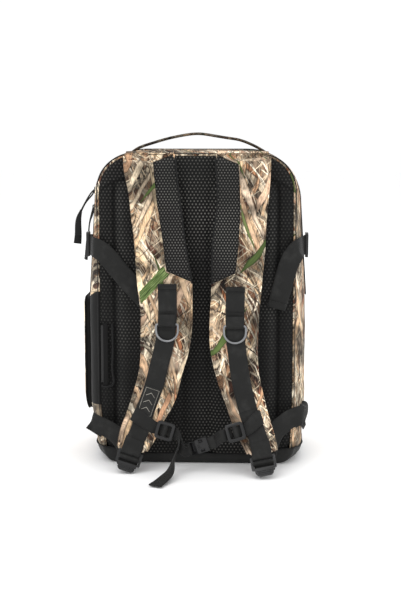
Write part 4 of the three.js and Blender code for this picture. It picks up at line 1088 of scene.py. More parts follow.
# base: a coated fabric boot that wraps up all four sides
def boot():
    th = []
    # closed path round the bag seen from above
    pts = []
    for y in np.linspace(-80, 80, 24):
        pts.append((-float(halfw(y)[0]) - 0.9, y, 24.0))
    for t in np.linspace(180, 90, 8)[1:-1]:
        pts.append((-float(halfw(80)[0]) + 11 - 0.6 + 11 * math.cos(math.radians(t)), 81.5 + 11 * math.sin(math.radians(t)), 26.0))
    for x in np.linspace(-138, 138, 36):
        pts.append((x, 93.2, 27.0))
    for t in np.linspace(90, 0, 8)[1:-1]:
        pts.append((float(halfw(80)[0]) - 11 + 0.6 + 11 * math.cos(math.radians(t)), 81.5 + 11 * math.sin(math.radians(t)), 26.0))
    for y in np.linspace(80, -80, 24):
        pts.append((float(halfw(y)[0]) + 0.9, y, 24.0))
    for t in np.linspace(0, -90, 8)[1:-1]:
        pts.append((float(halfw(-80)[0]) - 9 + 9 * math.cos(math.radians(t)), -82 + 8.8 * math.sin(math.radians(t)), 25.0))
    for x in np.linspace(142, -142, 48):
        k = sstep(abs(x), 95, 142)
        pts.append((x, -90.9 - 0.5 * (1 - k), 16.0 + 9.0 * k))
    for t in np.linspace(-90, -180, 8)[1:-1]:
        pts.append((-float(halfw(-80)[0]) + 9 + 9 * math.cos(math.radians(t)), -82 + 8.8 * math.sin(math.radians(t)), 25.0))
    P = np.array(pts)
    rows = []
    fr = [1.0, 0.97, 0.85, 0.7, 0.55, 0.42, 0.3, 0.2, 0.12, 0.06, 0.02, 0.0]
    for f in fr:
        row = []
        for x, y, zt in P:
            z = zt * f
            kx = R_BASE - math.sqrt(max(0.0, R_BASE ** 2 - (R_BASE - z) ** 2)) if z < R_BASE else 0.0
            kx0 = R_BASE - math.sqrt(max(0.0, R_BASE ** 2 - (R_BASE - zt) ** 2)) if zt < R_BASE else 0.0
            w = min(1.0, abs(x) / 150.0) ** 6
            ry = 7.0
            ky = ry - math.sqrt(max(0.0, ry ** 2 - (ry - z) ** 2)) if z < ry else 0.0
            wy = min(1.0, abs(y) / 88.0) ** 8
            x2 = x - math.copysign(min(abs(x), (kx - kx0 * 0.35) * w), x)
            y2 = y - math.copysign(ky * wy, y)
            out_ = 0.5 * math.sin(f * math.pi)
            row.append((x2 + math.copysign(out_, x) * w, y2 + math.copysign(out_, y) * wy, z))
        rows.append(row)
    # underside: shrink to the middle
    last = np.array(rows[-1])
    for q in (0.85, 0.6, 0.3, 0.05):
        rows.append([(x * q, y * q, 0.0) for x, y, _ in last])
    A = np.array(rows)
    ni, nj, _ = A.shape
    V = A.reshape(-1, 3)
    inner = A.copy()
    for i in range(ni):
        for j in range(nj):
            x, y, z = A[i, j]
            inner[i, j] = (x * (1 - 2.2 / 150), y * (1 - 2.2 / 90), max(z, 2.2) if i > 3 else z)
    V = np.vstack([V, inner.reshape(-1, 3)])
    n = ni * nj
    F = quads(ni, nj, wrap_j=True)
    F += [tuple(reversed(f)) for f in quads(ni, nj, n, wrap_j=True)]
    for j in range(nj):
        k = (j + 1) % nj
        F.append((j, n + j, n + k, k))
    e = (ni - 1) * nj
    F.append(tuple(e + j for j in range(nj)))
    F.append(tuple(n + e + j for j in reversed(range(nj))))
    return outward(obj("base_boot", V, F, [BOOT])), P


bt, bootP = boot()
put(bt, "pack", "base_panel", slot="base_fabric")
bseam = tube("boot_seam", [(x, y - (0.6 if y < -85 else 0), z) for x, y, z in bootP[::2]], 1.1, BIND, seg=6, closed=True, n=360)
put(bseam, "pack", slot="base_fabric")

# ---------------------------------------------------------------- main zip
def zip_strip(name, y_edge, sgn, body, node_):
    ys = [y_edge + sgn * d for d in (0.0, 1.2, 3.0, 5.5, 9.0)]
    P = []
    for y in ys:
        p, n = arch_rows(y, 258.5, n_side=60, n_arc=16, n_top=60)
        lift = 0.9 if abs(y - y_edge) < 8 else 0.35
        P.append([(a[0] + b[0] * lift, y, a[1] + b[1] * (lift - 0.8 * b[1])) for a, b in zip(p, n)])
    P = np.array(P)                       # (rows, along, 3)
    L = np.concatenate([[0], np.cumsum(np.linalg.norm(np.diff(P[0], axis=0), axis=1))])
    uv = np.zeros((*P.shape[:2], 2))
    for i, y in enumerate(ys):
        uv[i, :, 0] = abs(y - y_edge) * MM
        uv[i, :, 1] = L * MM
    o = sheet_solid(name, P.transpose(1, 0, 2), 1.2, ZIPM, uv=uv.transpose(1, 0, 2))
    return put(o, body, node_, slot="zip_coil")


zip_strip("main_zip_rear", -30.15, -1, "pack", "zip_track_rear")
zip_strip("main_zip_lid", -29.85, 1, "lid", "zip_track_lid")


def puff(o, pressure, cap, frames=12, quality=4):
    """Let a padded piece swell as cloth, then keep each point within cap (mm) of where it started."""
    me = o.data
    n = len(me.vertices)
    a = np.empty(n * 3); me.vertices.foreach_get("co", a)
    a = a.reshape(-1, 3)
    tmp = bpy.data.objects.new("cloth_pass", me.copy())
    scene.collection.objects.link(tmp)
    md = tmp.modifiers.new("cloth", "CLOTH")
    st = md.settings
    st.quality = quality
    st.mass = 0.25
    st.tension_stiffness = 18
    st.compression_stiffness = 12
    st.shear_stiffness = 8
    st.bending_stiffness = 0.6
    st.use_pressure = True
    st.uniform_pressure_force = pressure
    st.effector_weights.gravity = 0
    md.collision_settings.use_collision = False
    md.point_cache.frame_start = 1
    md.point_cache.frame_end = frames
    for f in range(1, frames + 1):
        scene.frame_set(f)
    dg = bpy.context.evaluated_depsgraph_get()
    ev = tmp.evaluated_get(dg)
    b = np.empty(n * 3); ev.data.vertices.foreach_get("co", b)
    b = b.reshape(-1, 3)
    scene.frame_set(1)
    bpy.data.objects.remove(tmp)
    d = b - a
    L = np.linalg.norm(d, axis=1)
    L[L == 0] = 1e-9
    k = (cap * MM) * np.tanh(L / (cap * MM)) / L
    if not np.isfinite(k).all():
        return o
    me.vertices.foreach_set("co", (a + d * k[:, None]).ravel())
    me.update()
    return o


# ========================================================== shoulder straps
LEFT = [[[-106.8,-108.6,478.6],[-31,-108.6,478.6]],[[-104.8,-111.5,449.6],[-28.5,-111.5,446.7]],[[-99.4,-113.2,424.4],[-25,-113.2,417.2]],[[-95.5,-115.4,391.1],[-21.2,-115.4,387.6]],[[-92.1,-117.4,365.1],[-17.4,-117.4,357.9]],[[-89.1,-119.6,335.3],[-13.2,-119.6,328.2]],[[-86.5,-122.2,293.5],[-6.7,-122.2,293.9]],[[-83.6,-123.3,266.5],[-5.8,-123.3,263.9]],[[-80.6,-124.5,237.8],[-5.7,-124.5,238.3]],[[-80.7,-125.6,206.5],[-6.8,-125.6,212.6]],[[-81.1,-126.8,177.2],[-12,-126.8,179.2]],[[-84.6,-128.1,146.7],[-21.1,-128.1,148]],[[-92.3,-129.2,119.1],[-28.6,-129.2,117.4]],[[-100.7,-130.9,93.1],[-38.5,-130.9,93.7]],[[-108.9,-133.5,72],[-52,-133.5,71]],[[-114.8,-138,51.1],[-64.6,-138.4,44.4]],[[-116.5,-141.6,39.5],[-74,-142.6,31.5]]]
RIGHT = [[[110.9,-108.6,478.6],[29.2,-108.6,478.6]],[[110.2,-111.7,445.5],[32.2,-111.7,445.4]],[[107.8,-113.8,413],[33.7,-113.8,411.4]],[[105.3,-115.6,387.9],[31.3,-115.6,383.3]],[[103.7,-117.7,358.3],[27.8,-117.7,356.6]],[[102.7,-119.6,333.1],[26.1,-119.6,329.8]],[[99.3,-122.1,297.4],[25.9,-122.1,295.6]],[[97.1,-123.2,269],[25.4,-123.2,268.6]],[[94.9,-124.3,243.4],[24,-124.3,243]],[[93.3,-125.5,213.3],[23.1,-125.5,212.8]],[[92.8,-127,178.6],[25,-127,181.1]],[[94.9,-128.5,149.8],[31.7,-128.5,150.8]],[[100.5,-129.9,122.5],[40.1,-129.9,123.5]],[[107.3,-132.1,96.3],[50,-132.1,97.8]],[[114.3,-138.8,74],[59.3,-139,73.5]],[[120.9,-146.7,53],[71.5,-148.4,49.8]],[[123.4,-154,39.5],[81,-155.2,33]]]
WEB = {"left": [[284,-41.8],[261,-41.3],[231,-41.5],[213,-43],[195,-45.7],[162,-53.8],[134,-60.8],[109,-69.3],[86.5,-76.8],[62,-83.6],[47.7,-90.2],[33,-95.3]],
       "right": [[284,60.5],[256,60.2],[234,60],[212,60.3],[190,62.3],[171,64.8],[143,68.8],[115,75.1],[84,83.6],[65,91.6],[50,96.9],[34,101.5]]}
# outline of the mesh inlay on each strap, (x, z)
INLAY = {"left": [(-20, 483), (-63.9, 465.3), (-61.4, 436.4), (-58.6, 408.5), (-54.6, 382), (-49.5, 349), (-46.4, 322.2), (-43.4, 302.9), (-6.3, 287.3), (30, 280), (30, 520), (-28, 520)],
         "right": [(22, 482), (65.1, 462.1), (67.4, 425.1), (68.1, 397.8), (66.9, 363.7), (64.4, 329.4), (61.7, 305.6), (60.4, 300.1), (27.3, 284.7), (-20, 270), (-20, 520), (28, 520)]}
STRAP_T = 12.0


def poly_dist(px, pz, poly):
    """Signed distance to an outline, positive inside."""
    best, inside = 1e9, False
    n = len(poly)
    for i in range(n):
        ax, az = poly[i]; bx, bz = poly[(i + 1) % n]
        dx, dz = bx - ax, bz - az
        t = max(0, min(1, ((px - ax) * dx + (pz - az) * dz) / (dx * dx + dz * dz)))
        best = min(best, math.hypot(px - ax - t * dx, pz - az - t * dz))
        if (az > pz) != (bz > pz) and px < ax + (pz - az) / (bz - az) * dx:
            inside = not inside
    return best if inside else -best


class Strap:
    def __init__(self, side, stations):
        self.side = side
        A = np.array(stations, float)
        self.O, self.I = A[:, 0], A[:, 1]
        self.C = (self.O + self.I) / 2
        self.s = chord(self.C)

    def at(self, q):
        q = np.atleast_1d(np.asarray(q, float))
        O = spline(self.s, self.O, q); I = spline(self.s, self.I, q)
        e = 0.5
        c1 = (spline(self.s, self.O, np.clip(q + e, 0, self.s[-1])) + spline(self.s, self.I, np.clip(q + e, 0, self.s[-1]))) / 2
        c0 = (spline(self.s, self.O, np.clip(q - e, 0, self.s[-1])) + spline(self.s, self.I, np.clip(q - e, 0, self.s[-1]))) / 2
        tan = unit(c1 - c0)
        w = unit(O - I)
        n = unit(np.cross(w, tan))
        n[n[:, 1] > 0] *= -1
        return O, I, tan, w, n

    def q_of_z(self, z):
        qs = np.linspace(0, self.s[-1], 600)
        zs = (spline(self.s, self.O, qs)[:, 2] + spline(self.s, self.I, qs)[:, 2]) / 2
        return np.interp(-np.atleast_1d(z), -zs, qs)

    def front(self, z, x):
        """Point on the front face at height z and cross position x, and the frame there."""
        q = self.q_of_z(z)
        for _ in range(3):
            O, I, tan, w, n = self.at(q)
            t = (x - O[:, 0]) / (I[:, 0] - O[:, 0])
            p = O + (I - O) * t[:, None]
            q = q + (p[:, 2] - z)
        q = np.clip(q, 0, self.s[-1])
        O, I, tan, w, n = self.at(q)
        t = np.clip((x - O[:, 0]) / (I[:, 0] - O[:, 0]), 0, 1)
        p = O + (I - O) * t[:, None]
        cr = self.crown(t)
        return p + n * cr[:, None], tan, w, n

    def crown(self, t):
        u = 2 * t - 1
        return 1.3 * (1 - u ** 2)

    def build(self):
        m = 150
        qs = np.linspace(0, self.s[-1], m)
        O, I, tan, w, n = self.at(qs)
        W = np.linalg.norm(O - I, axis=1)
        V, at = [], []
        nf, nb = 26, 16
        k = None
        for i in range(m):
            row = []
            # thinner near both ends, where it is stitched flat
            top = sstep(qs[i], 0, 26)
            end = sstep(self.s[-1] - qs[i], 0, 16)
            th = STRAP_T * (0.42 + 0.58 * min(top, 1)) * (0.45 + 0.55 * end)
            edge = min(5.2, th * 0.46)
            lap = 9.5 * (1 - sstep(qs[i], 0, 15)) if qs[i] < 15 else 0.0
            for t in np.linspace(0, 1, nf):
                d = min(t, 1 - t) * W[i]
                y = -edge * (1 - math.sqrt(max(0, 1 - (1 - min(1, d / (edge * 1.5))) ** 2)))
                p = O[i] + (I[i] - O[i]) * t
                y += 1.3 * (1 - (2 * t - 1) ** 2) * min(top, end)
                # stitch line just inside the edge, and soft dents of the padding
                y -= 0.7 * gauss(d - 6.0, 1.3) * min(top, end)
                y += (nz(p[0], 0, p[2], 0.03, 4.4) * 0.7) * sstep(d, 2, 12)
                sd = poly_dist(p[0], p[2], INLAY[self.side])
                if qs[i] < 190:
                    y -= 0.9 * gauss(sd, 1.8) * sstep(d, 3, 7)
                row.append(p + n[i] * y - np.array([0, -1, 0]) * lap)
                at.append(sd * MM)
            for t in np.linspace(1, 0, nb):
                d = min(t, 1 - t) * W[i]
                y = -th + edge * (1 - math.sqrt(max(0, 1 - (1 - min(1, d / (edge * 1.5))) ** 2)))
                p = O[i] + (I[i] - O[i]) * t
                row.append(p + n[i] * y - np.array([0, -1, 0]) * lap * 0.6)
                at.append(-0.02)
            k = len(row)
            V += row
        F = quads(m, k, wrap_j=True)
        V = [np.asarray(v) for v in V]
        # rounded end caps
        for base, sgn in ((0, -1), ((m - 1) * k, 1)):
            ring = np.array(V[base:base + k]); c = ring.mean(0)
            tn = tan[0] if base == 0 else tan[-1]
            r1 = len(V)
            out = 2.6 if base else 0.6
            for v in ring:
                V.append(c + (v - c) * 0.93 + tn * sgn * out)
            at += [at[base + j] for j in range(k)]
            for j in range(k):
                a, b = base + j, base + (j + 1) % k
                F.append((a, b, r1 + (j + 1) % k, r1 + j) if sgn > 0 else (b, a, r1 + j, r1 + (j + 1) % k))
            cap = tuple(r1 + j for j in range(k))
            F.append(cap if sgn > 0 else tuple(reversed(cap)))
        o = outward(obj("shoulder_pad_" + self.side, V, F, [STRAPM], attrs={"inlay": at}))
        return o


def seam(o, pts, r=0.5, body=None, mat=None):
    return tube(o, pts, r, mat or BIND, seg=6)


straps = {}
for side, st in (("left", LEFT), ("right", RIGHT)):
    S = Strap(side, st)
    straps[side] = S
    body = side + "_strap"
    pad = puff(S.build(), 3.0, 2.2)
    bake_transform(pad)
    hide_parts("shoulder_strap_" + side)
    # edge binding runs down both sides
    qi = float(S.q_of_z(285.0)[0])
    for nm, tt, q0, q1, bm_ in (("outer", 0.0, 4.0, S.s[-1] - 1.0, CAMO), ("inner_mesh", 1.0, 4.0, qi, BIND), ("inner", 1.0, qi, S.s[-1] - 1.0, CAMO)):
        q = np.linspace(q0, q1, 60)
        O, I, tan, w, n = S.at(q)
        E = O if tt == 0 else I
        sg = 1 if tt == 0 else -1
        pts = E - n * 5.4 + w * (0.35 * sg)
        b = tube(f"strap_binding_{nm}_{side}", pts, 1.4, bm_, seg=8, n=150)
        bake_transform(b)
    # piping round the mesh inlay
    ip = [p for p in INLAY[side][1:9]]
    ip = np.array(ip, float)
    sI = chord(ip)
    qq = np.linspace(0, sI[-1], 70)
    xz = np.stack([np.interp(qq, sI, ip[:, 0]), np.interp(qq, sI, ip[:, 1])], 1)
    P, tn, w_, n_ = S.front(xz[:, 1], xz[:, 0])
    ps = tube("inlay_seam_" + side, P - n_ * 0.35, 0.8, CAMO, seg=6, n=160)
    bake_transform(ps)
    # the long webbing
    wz = np.array(WEB[side], float)
    zz = np.linspace(284 if side == "left" else 280, 31, 64)
    xx = spline(-wz[:, 0], wz[:, 1], -np.clip(zz, 33.5, 284))
    P, tn, w_, n_ = S.front(zz, xx)
    lift = 0.95 + 0.2 * np.sin(zz * 0.05)
    # the webbing lies just off the strap's front face with a gentle wave; the flat stitched top and the rise over the
    # hem that holds the ring are not modelled
    zc = 228.0
    Cw = P + n_ * lift[:, None]
    dirx = unit(np.gradient(Cw, axis=0))
    Wd = unit(np.cross(dirx, n_))
    Wd[Wd[:, 0] < 0] *= -1
    web = ribbon("strap_webbing_" + side, Cw, Wd, 13.7, 1.7, WEBM, n_len=120, n_w=11)
    put(web, body, "strap_webbing_" + side, slot="webbing")
    # hem, with the folded top edge of the webbing
    P1, t1, w1, n1 = S.front(np.array([285.0, 277.0]) - (0 if side == "left" else 4.0), np.array([wz[0, 1]] * 2))
    hem = ribbon("webbing_top_fold_" + side, P1 + n1 * 2.1, [[1, 0, 0]] * 2, 13.9, 1.5, WEBM, n_len=8, n_w=11)
    put(hem, body, slot="webbing")
    # lines of stitches at the top, either side of the hem and at the bottom
    rows_ = [(281.5, 0), (274.5, 0), (243.5, 1), (215.0, 0), (94.0, 0), (78.0, 0)]
    for kk, (z_, r_) in enumerate(rows_):
        xc = float(spline(-wz[:, 0], wz[:, 1], [-z_])[0])
        Pq, tq, wq, nq = S.front(np.array([z_]), np.array([xc]))
        ti = unit(tq[0]); wd = unit(np.cross(ti, nq[0])); wd = wd if wd[0] > 0 else -wd
        c0 = Pq[0] + nq[0] * (2.05 + (1.1 if z_ > 270 else 0))
        parts = []
        for j in range(9):
            x0 = -11.2 + j * 2.8
            a_, b_ = c0 + wd * (x0 - 0.95), c0 + wd * (x0 + 0.95)
            parts.append(tube("st", [a_, (a_ + b_) / 2 + nq[0] * 0.12, b_], 0.32, BIND, seg=5, n=4, smooth_path=False) if False else tube("st", [a_, (a_ + b_) / 2 + nq[0] * 0.15, b_], 0.34, BIND, seg=5, n=5))
        j_ = join(f"webbing_stitches_{side}_{kk}", parts)
        put(j_, body, slot="webbing")

# patch of the strap tops: a camo band folded over the ends of the pads
for side, x0, x1 in (("left", -107.0, -31.0), ("right", 30.0, 111.0)):
    cx, hwid = (x0 + x1) / 2, (x1 - x0) / 2
    o = ribbon("strap_end_" + side, [(cx, -84.0, 479.4), (cx, -89.5, 480.6), (cx, -95.5, 480.4), (cx, -100.5, 478.0)], [[1, 0, 0]] * 4, hwid - 2.6, 2.2, CAMO, n_len=24, n_w=19)
    put(o, "pack", "strap_anchor_" + side, slot="camo_fabric")

# plain sewn patch on the left webbing: a border and three chevrons
Sl = straps["left"]
wl = np.array(WEB["left"], float)
zz = np.linspace(128, 85, 20)
xx = spline(-wl[:, 0], wl[:, 1], -zz)
P, tn, w_, n_ = Sl.front(zz, xx)
Cw = P + n_ * 2.15
dr = unit(np.gradient(Cw, axis=0)); Wd = unit(np.cross(dr, n_)); Wd[Wd[:, 0] < 0] *= -1
pt = ribbon("webbing_patch", Cw, Wd, 11.6, 0.9, BOOT, n_len=40, n_w=9)
put(pt, "left_strap", slot="webbing")
LIGHTTH = make_cloth("pale_thread", "#8d8a82", 0.0007, 0.7)
parts = []
def on_patch(a, b):
    """a across in mm, b along 0..1."""
    i = b * (len(Cw) - 1)
    k = min(len(Cw) - 2, int(i)); f = i - k
    c = Cw[k] * (1 - f) + Cw[k + 1] * f
    return c + Wd[k] * a + n_[k] * 0.62
parts.append(tube("b", [on_patch(-10.2, 0.05), on_patch(10.2, 0.05), on_patch(10.2, 0.5), on_patch(10.2, 0.95), on_patch(-10.2, 0.95), on_patch(-10.2, 0.5), on_patch(-10.2, 0.05)], 0.3, LIGHTTH, seg=5, smooth_path=False))
for b in (0.25, 0.5, 0.75):
    parts.append(tube("c", [on_patch(-7.0, b + 0.06), on_patch(0, b - 0.06), on_patch(7.0, b + 0.06)], 0.45, LIGHTTH, seg=5, smooth_path=False))
pj = join("patch_thread", parts)
put(pj, "left_strap", slot="webbing")

# ----------------------------------------------------------------- D-rings
RINGS = {"left": (-41.8, -130.9, 225.0), "right": (60.0, -130.7, 222.5)}
for side, c in RINGS.items():
    c = np.array(c)
    pts = []
    hwid, H, r = 16.4, 26.0, 1.75
    pts += [(x, 0) for x in np.linspace(-13.6, 13.6, 10)]
    # rounded shoulders, then the bow
    for t in np.linspace(90, 0, 6)[1:]:
        pts.append((13.6 + 2.8 * math.cos(math.radians(t)), -2.8 + 2.8 * math.sin(math.radians(t))))
    pts += [(16.4, -6), (16.3, -9.5)]
    for t in np.linspace(0, -180, 20)[1:-1]:
        pts.append((16.2 * math.cos(math.radians(t)), -10 + 15.6 * math.sin(math.radians(t))))
    pts += [(-16.3, -9.5), (-16.4, -6)]
    for t in np.linspace(180, 90, 6)[:-1]:
        pts.append((-13.6 + 2.8 * math.cos(math.radians(t)), -2.8 + 2.8 * math.sin(math.radians(t))))
    P3 = [c + np.array([a, 0.0, b]) for a, b in pts]
    ring = tube("d_ring_" + side, P3, r, STEEL, seg=14, closed=True, n=120)
    # the bow leans against the webbing
    put(ring, side + "_d_ring", "d_ring_" + side, slot="dark_steel")
    # hem loop: webbing goes round the bar and back up
    loop = [(-0.4, 14.5), (-2.0, 11), (-2.6, 6), (-2.9, 2.6), (-2.2, -1.2), (0, -3.2), (2.2, -1.2), (2.5, 2.6), (2.2, 7.5), (1.6, 13.5)]
    Cl = [c + np.array([0, a * 1.0, b]) for a, b in loop]
    hl = ribbon("ring_loop_" + side, Cl, [[1, 0, 0]] * len(Cl), 12.9, 1.5, WEBM, n_len=60, n_w=9)
    put(hl, side + "_strap", "ring_loop_" + side, slot="webbing")

# ----------------------------------------------------- ladder locks, webbing
LOCKS = {"left": ((-95.2, -144.4, 33.6), (.945, -.02, -.30), (.29, .30, .91)), "right": ((101.5, -156.5, 31.4), (.965, .02, .20), (-.17, .60, .775))}


def bar(name, a, b, r, mat, fl=None):
    return tube(name, [a, (np.asarray(a) + np.asarray(b)) / 2, b], r, mat, seg=12, n=8, flat=fl)


for side, (p, ex, up) in LOCKS.items():
    p = np.array(p, float); ex = unit(np.array(ex, float)); up = np.array(up, float)
    up = unit(up - ex * np.dot(up, ex)); nzv = np.cross(ex, up)
    if nzv[1] > 0:
        nzv = -nzv
    o = p - up * 1.2
    body_ = [(-18.2, 0), (18.2, 0), (19, -1), (19, -18.6), (18.2, -20.2), (14.4, -21.0), (13.6, -22.4), (13.2, -26.4), (11.6, -29.2), (8.6, -31.0), (-8.6, -31.0), (-11.6, -29.2), (-13.2, -26.4), (-13.6, -22.4), (-14.4, -21.0), (-18.2, -20.2), (-19, -18.6), (-19, -1)]
    s1 = rrect(30.6, 4.8, 1.2, cx=0, cy=-6.5)
    s2 = rrect(30.6, 4.8, 1.2, cx=0, cy=-15.5)
    f = (o, ex, up, nzv)
    a = prism("lock", body_, -2.0, 2.0, f, PLAST, holes=(s1, s2), bev=0.9, segs=3)
    parts = [a]
    # raised bars and a ribbed thumb tab
    for yb, rr in ((-2.2, 2.0), (-11.0, 1.9)):
        parts.append(bar("b", o + ex * -16.5 + up * yb + nzv * 1.3, o + ex * 16.5 + up * yb + nzv * 1.3, rr, PLAST))
    for j in range(3):
        w_ = 8.6 - j * 1.0
        yb = -23.2 - j * 2.5
        parts.append(bar("r", o - ex * (w_ + 3) + up * yb + nzv * 2.0, o + ex * (w_ + 3) + up * yb + nzv * 2.0, 0.75, PLAST))
    lk = join("ladder_lock_" + side, parts)
    put(lk, side + "_ladder_lock", "ladder_lock_" + side, slot="black_plastic")
    # end loop: the strap webbing goes round the top bar
    S = straps[side]
    ztop = 37.5 if side == "left" else 38.0
    wz = np.array(WEB[side], float)
    xc = float(spline(-wz[:, 0], wz[:, 1], [-ztop])[0])
    P, tn, w_, n_ = S.front(np.array([50.0, 44.0, ztop]), spline(-wz[:, 0], wz[:, 1], np.array([-50.0, -44.0, -ztop])))
    top = [P[0] + n_[0] * 2.3, P[1] + n_[1] * 2.5, P[2] + n_[2] * 2.7]
    b0 = o + up * (-2.2)
    rnd = [b0 + nzv * 4.6 + up * 2.4, b0 + nzv * 4.2 - up * 1.4, b0 - up * 3.3 + nzv * 0.6, b0 - nzv * 3.2 - up * 1.0, b0 - nzv * 3.4 + up * 4.0]
    lp = ribbon("lock_loop_" + side, top + rnd, [Vd for Vd in [ex] * 8], 14.6, 1.6, WEBM, n_len=60, n_w=9)
    put(lp, side + "_strap", slot="webbing")

LWL = [((-146.5,-93.7,52),(.62,0,.77)),((-156,-97.5,60),(.6,0,.8)),((-164.5,-101.5,68),(.53,0,.85)),((-156,-106.5,65),(.45,0,.89)),((-140,-109.5,58.5),(.42,0,.9)),((-124,-114,51),(.55,0,.83)),((-112,-119,42),(.78,0,.6)),((-105,-125.5,31),(.95,0,.2)),((-102.4,-132,20),(.95,0,-.28))]
LWR = [((147,-93.6,70),(-.5,0,.86)),((157,-94.8,76),(-.3,0,.95)),((166.5,-96.5,79),(0,0,1)),((163,-102.5,81),(-.3,0,.95)),((150,-106.5,78),(-.45,0,.89)),((136,-112,70),(-.5,0,.86)),((124,-118,60),(-.62,0,.78)),((115,-127,46),(-.85,0,.5)),((109,-139,29),(-.98,0,-.1)),((106.5,-149,17),(-.98,0,-.18))]
for side, L_ in (("left", LWL), ("right", LWR)):
    p, ex, up = [np.array(v, float) for v in LOCKS[side]]
    up = unit(up)
    o = p - up * 1.2
    C = [np.array(a, float) for a, _ in L_]
    W = [np.array(b, float) for _, b in L_]
    # up through the lock from behind, over its middle bar and out again
    nzv = np.cross(unit(ex), up); nzv = nzv if nzv[1] < 0 else -nzv
    C[-1] = o - up * 19.5 - nzv * 3.6
    C += [o - up * 14.6 - nzv * 2.6, o - up * 11.0 + nzv * 4.2, o - up * 6.8 + nzv * 0.2, o - up * 8.0 - nzv * 3.4, o - up * 15 - nzv * 5.2]
    W[-1] = -ex if W[-1][0] * ex[0] < 0 else ex
    W += [W[-1]] * 5
    lw = lean(ribbon("lower_webbing_" + side, C, W, 14.3, 1.6, WEBM, n_len=150, n_w=9))
    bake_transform(lw)
    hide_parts("lower_webbing_" + side)

UWL = [((-167.4,-50,338),(0,0,1)),((-162.9,-66,338),(.05,0,1)),((-159.6,-82,337.5),(.1,0,1)),((-154.8,-93.2,337),(.1,0,1)),((-149,-96.6,334.5),(.3,0,.95)),((-142,-97.6,330),(.52,0,.85)),((-120,-99.0,306),(.66,0,.75)),((-92,-99.6,274),(.70,0,.71)),((-76,-99.6,256),(.70,0,.71))]
UWR = [((167.4,-50,338),(0,0,1)),((162.9,-66,338),(-.05,0,1)),((159.6,-82,337.5),(-.1,0,1)),((154.8,-93.2,336),(-.1,0,1)),((150,-96.4,330),(-.4,0,.92)),((145,-97.4,322),(-.7,0,.7)),((134,-98.6,290),(-.86,0,.5)),((122,-98.8,246),(-.95,0,.27))]
for side, L_ in (("left", UWL), ("right", UWR)):
    sg = -1 if side == "left" else 1
    C = [(sg * 169.8, -44.0, 338), (sg * 169.4, -50.5, 338)] + [a for a, _ in L_[1:]]
    W = [(0, 0, 1), (0, 0, 1)] + [b for _, b in L_[1:]]
    hws = [14.4] * (len(C) - 1) + [13.8]
    C = [np.array(c, float) for c in C]
    uw = ribbon("upper_webbing_" + side, C, W, hws, 1.7, WEBM, n_len=110, n_w=11)
    put(uw, "pack", "upper_webbing_" + side, slot="webbing")
    # folded and stitched end
    d = unit(C[-1] - C[-2])
    ef = ribbon("upper_webbing_fold_" + side, [C[-1] - d * 9 + [0, -1.6, 0], C[-1] - d * 3 + [0, -1.7, 0], C[-1] + d * 1 + [0, -1.2, 0]], [W[-1]] * 3, 13.8, 1.3, WEBM, n_len=16, n_w=11)
    put(ef, "pack", slot="webbing")
    # lock plate on the side wall
    fr = (np.array([sg * 167.1, -51.0, 338.0]), np.array([0, 1.0, 0]), np.array([0, 0, 1.0]), np.array([sg, 0, 0.0]))
    pl = prism("sl", rrect(22, 38, 3.2), 0.0, 4.0, fr, PLAST, holes=(rrect(4.0, 29.6, 1.0, cx=-3.5), rrect(4.0, 29.6, 1.0, cx=4.0)), bev=0.9, segs=3)
    b1 = bar("b", np.array([sg * 170.4, -51.2, 322.5]), np.array([sg * 170.4, -51.2, 353.5]), 1.5, PLAST)
    sl = join("side_lock_" + side, [pl, b1])
    put(sl, "pack", "side_lock_" + side, slot="black_plastic")
    # short tail of the webbing beyond the lock
    tl = ribbon("side_tail_" + side, [(sg * 168.8, -44.5, 338), (sg * 168.6, -37, 337.5), (sg * 167.4, -20, 336), (sg * 167.2, 4, 333), (sg * 166.9, 18, 331)], [(0, 0, 1)] * 5, 14.0, 1.6, WEBM, n_len=40, n_w=9)
    put(tl, "pack", slot="webbing")

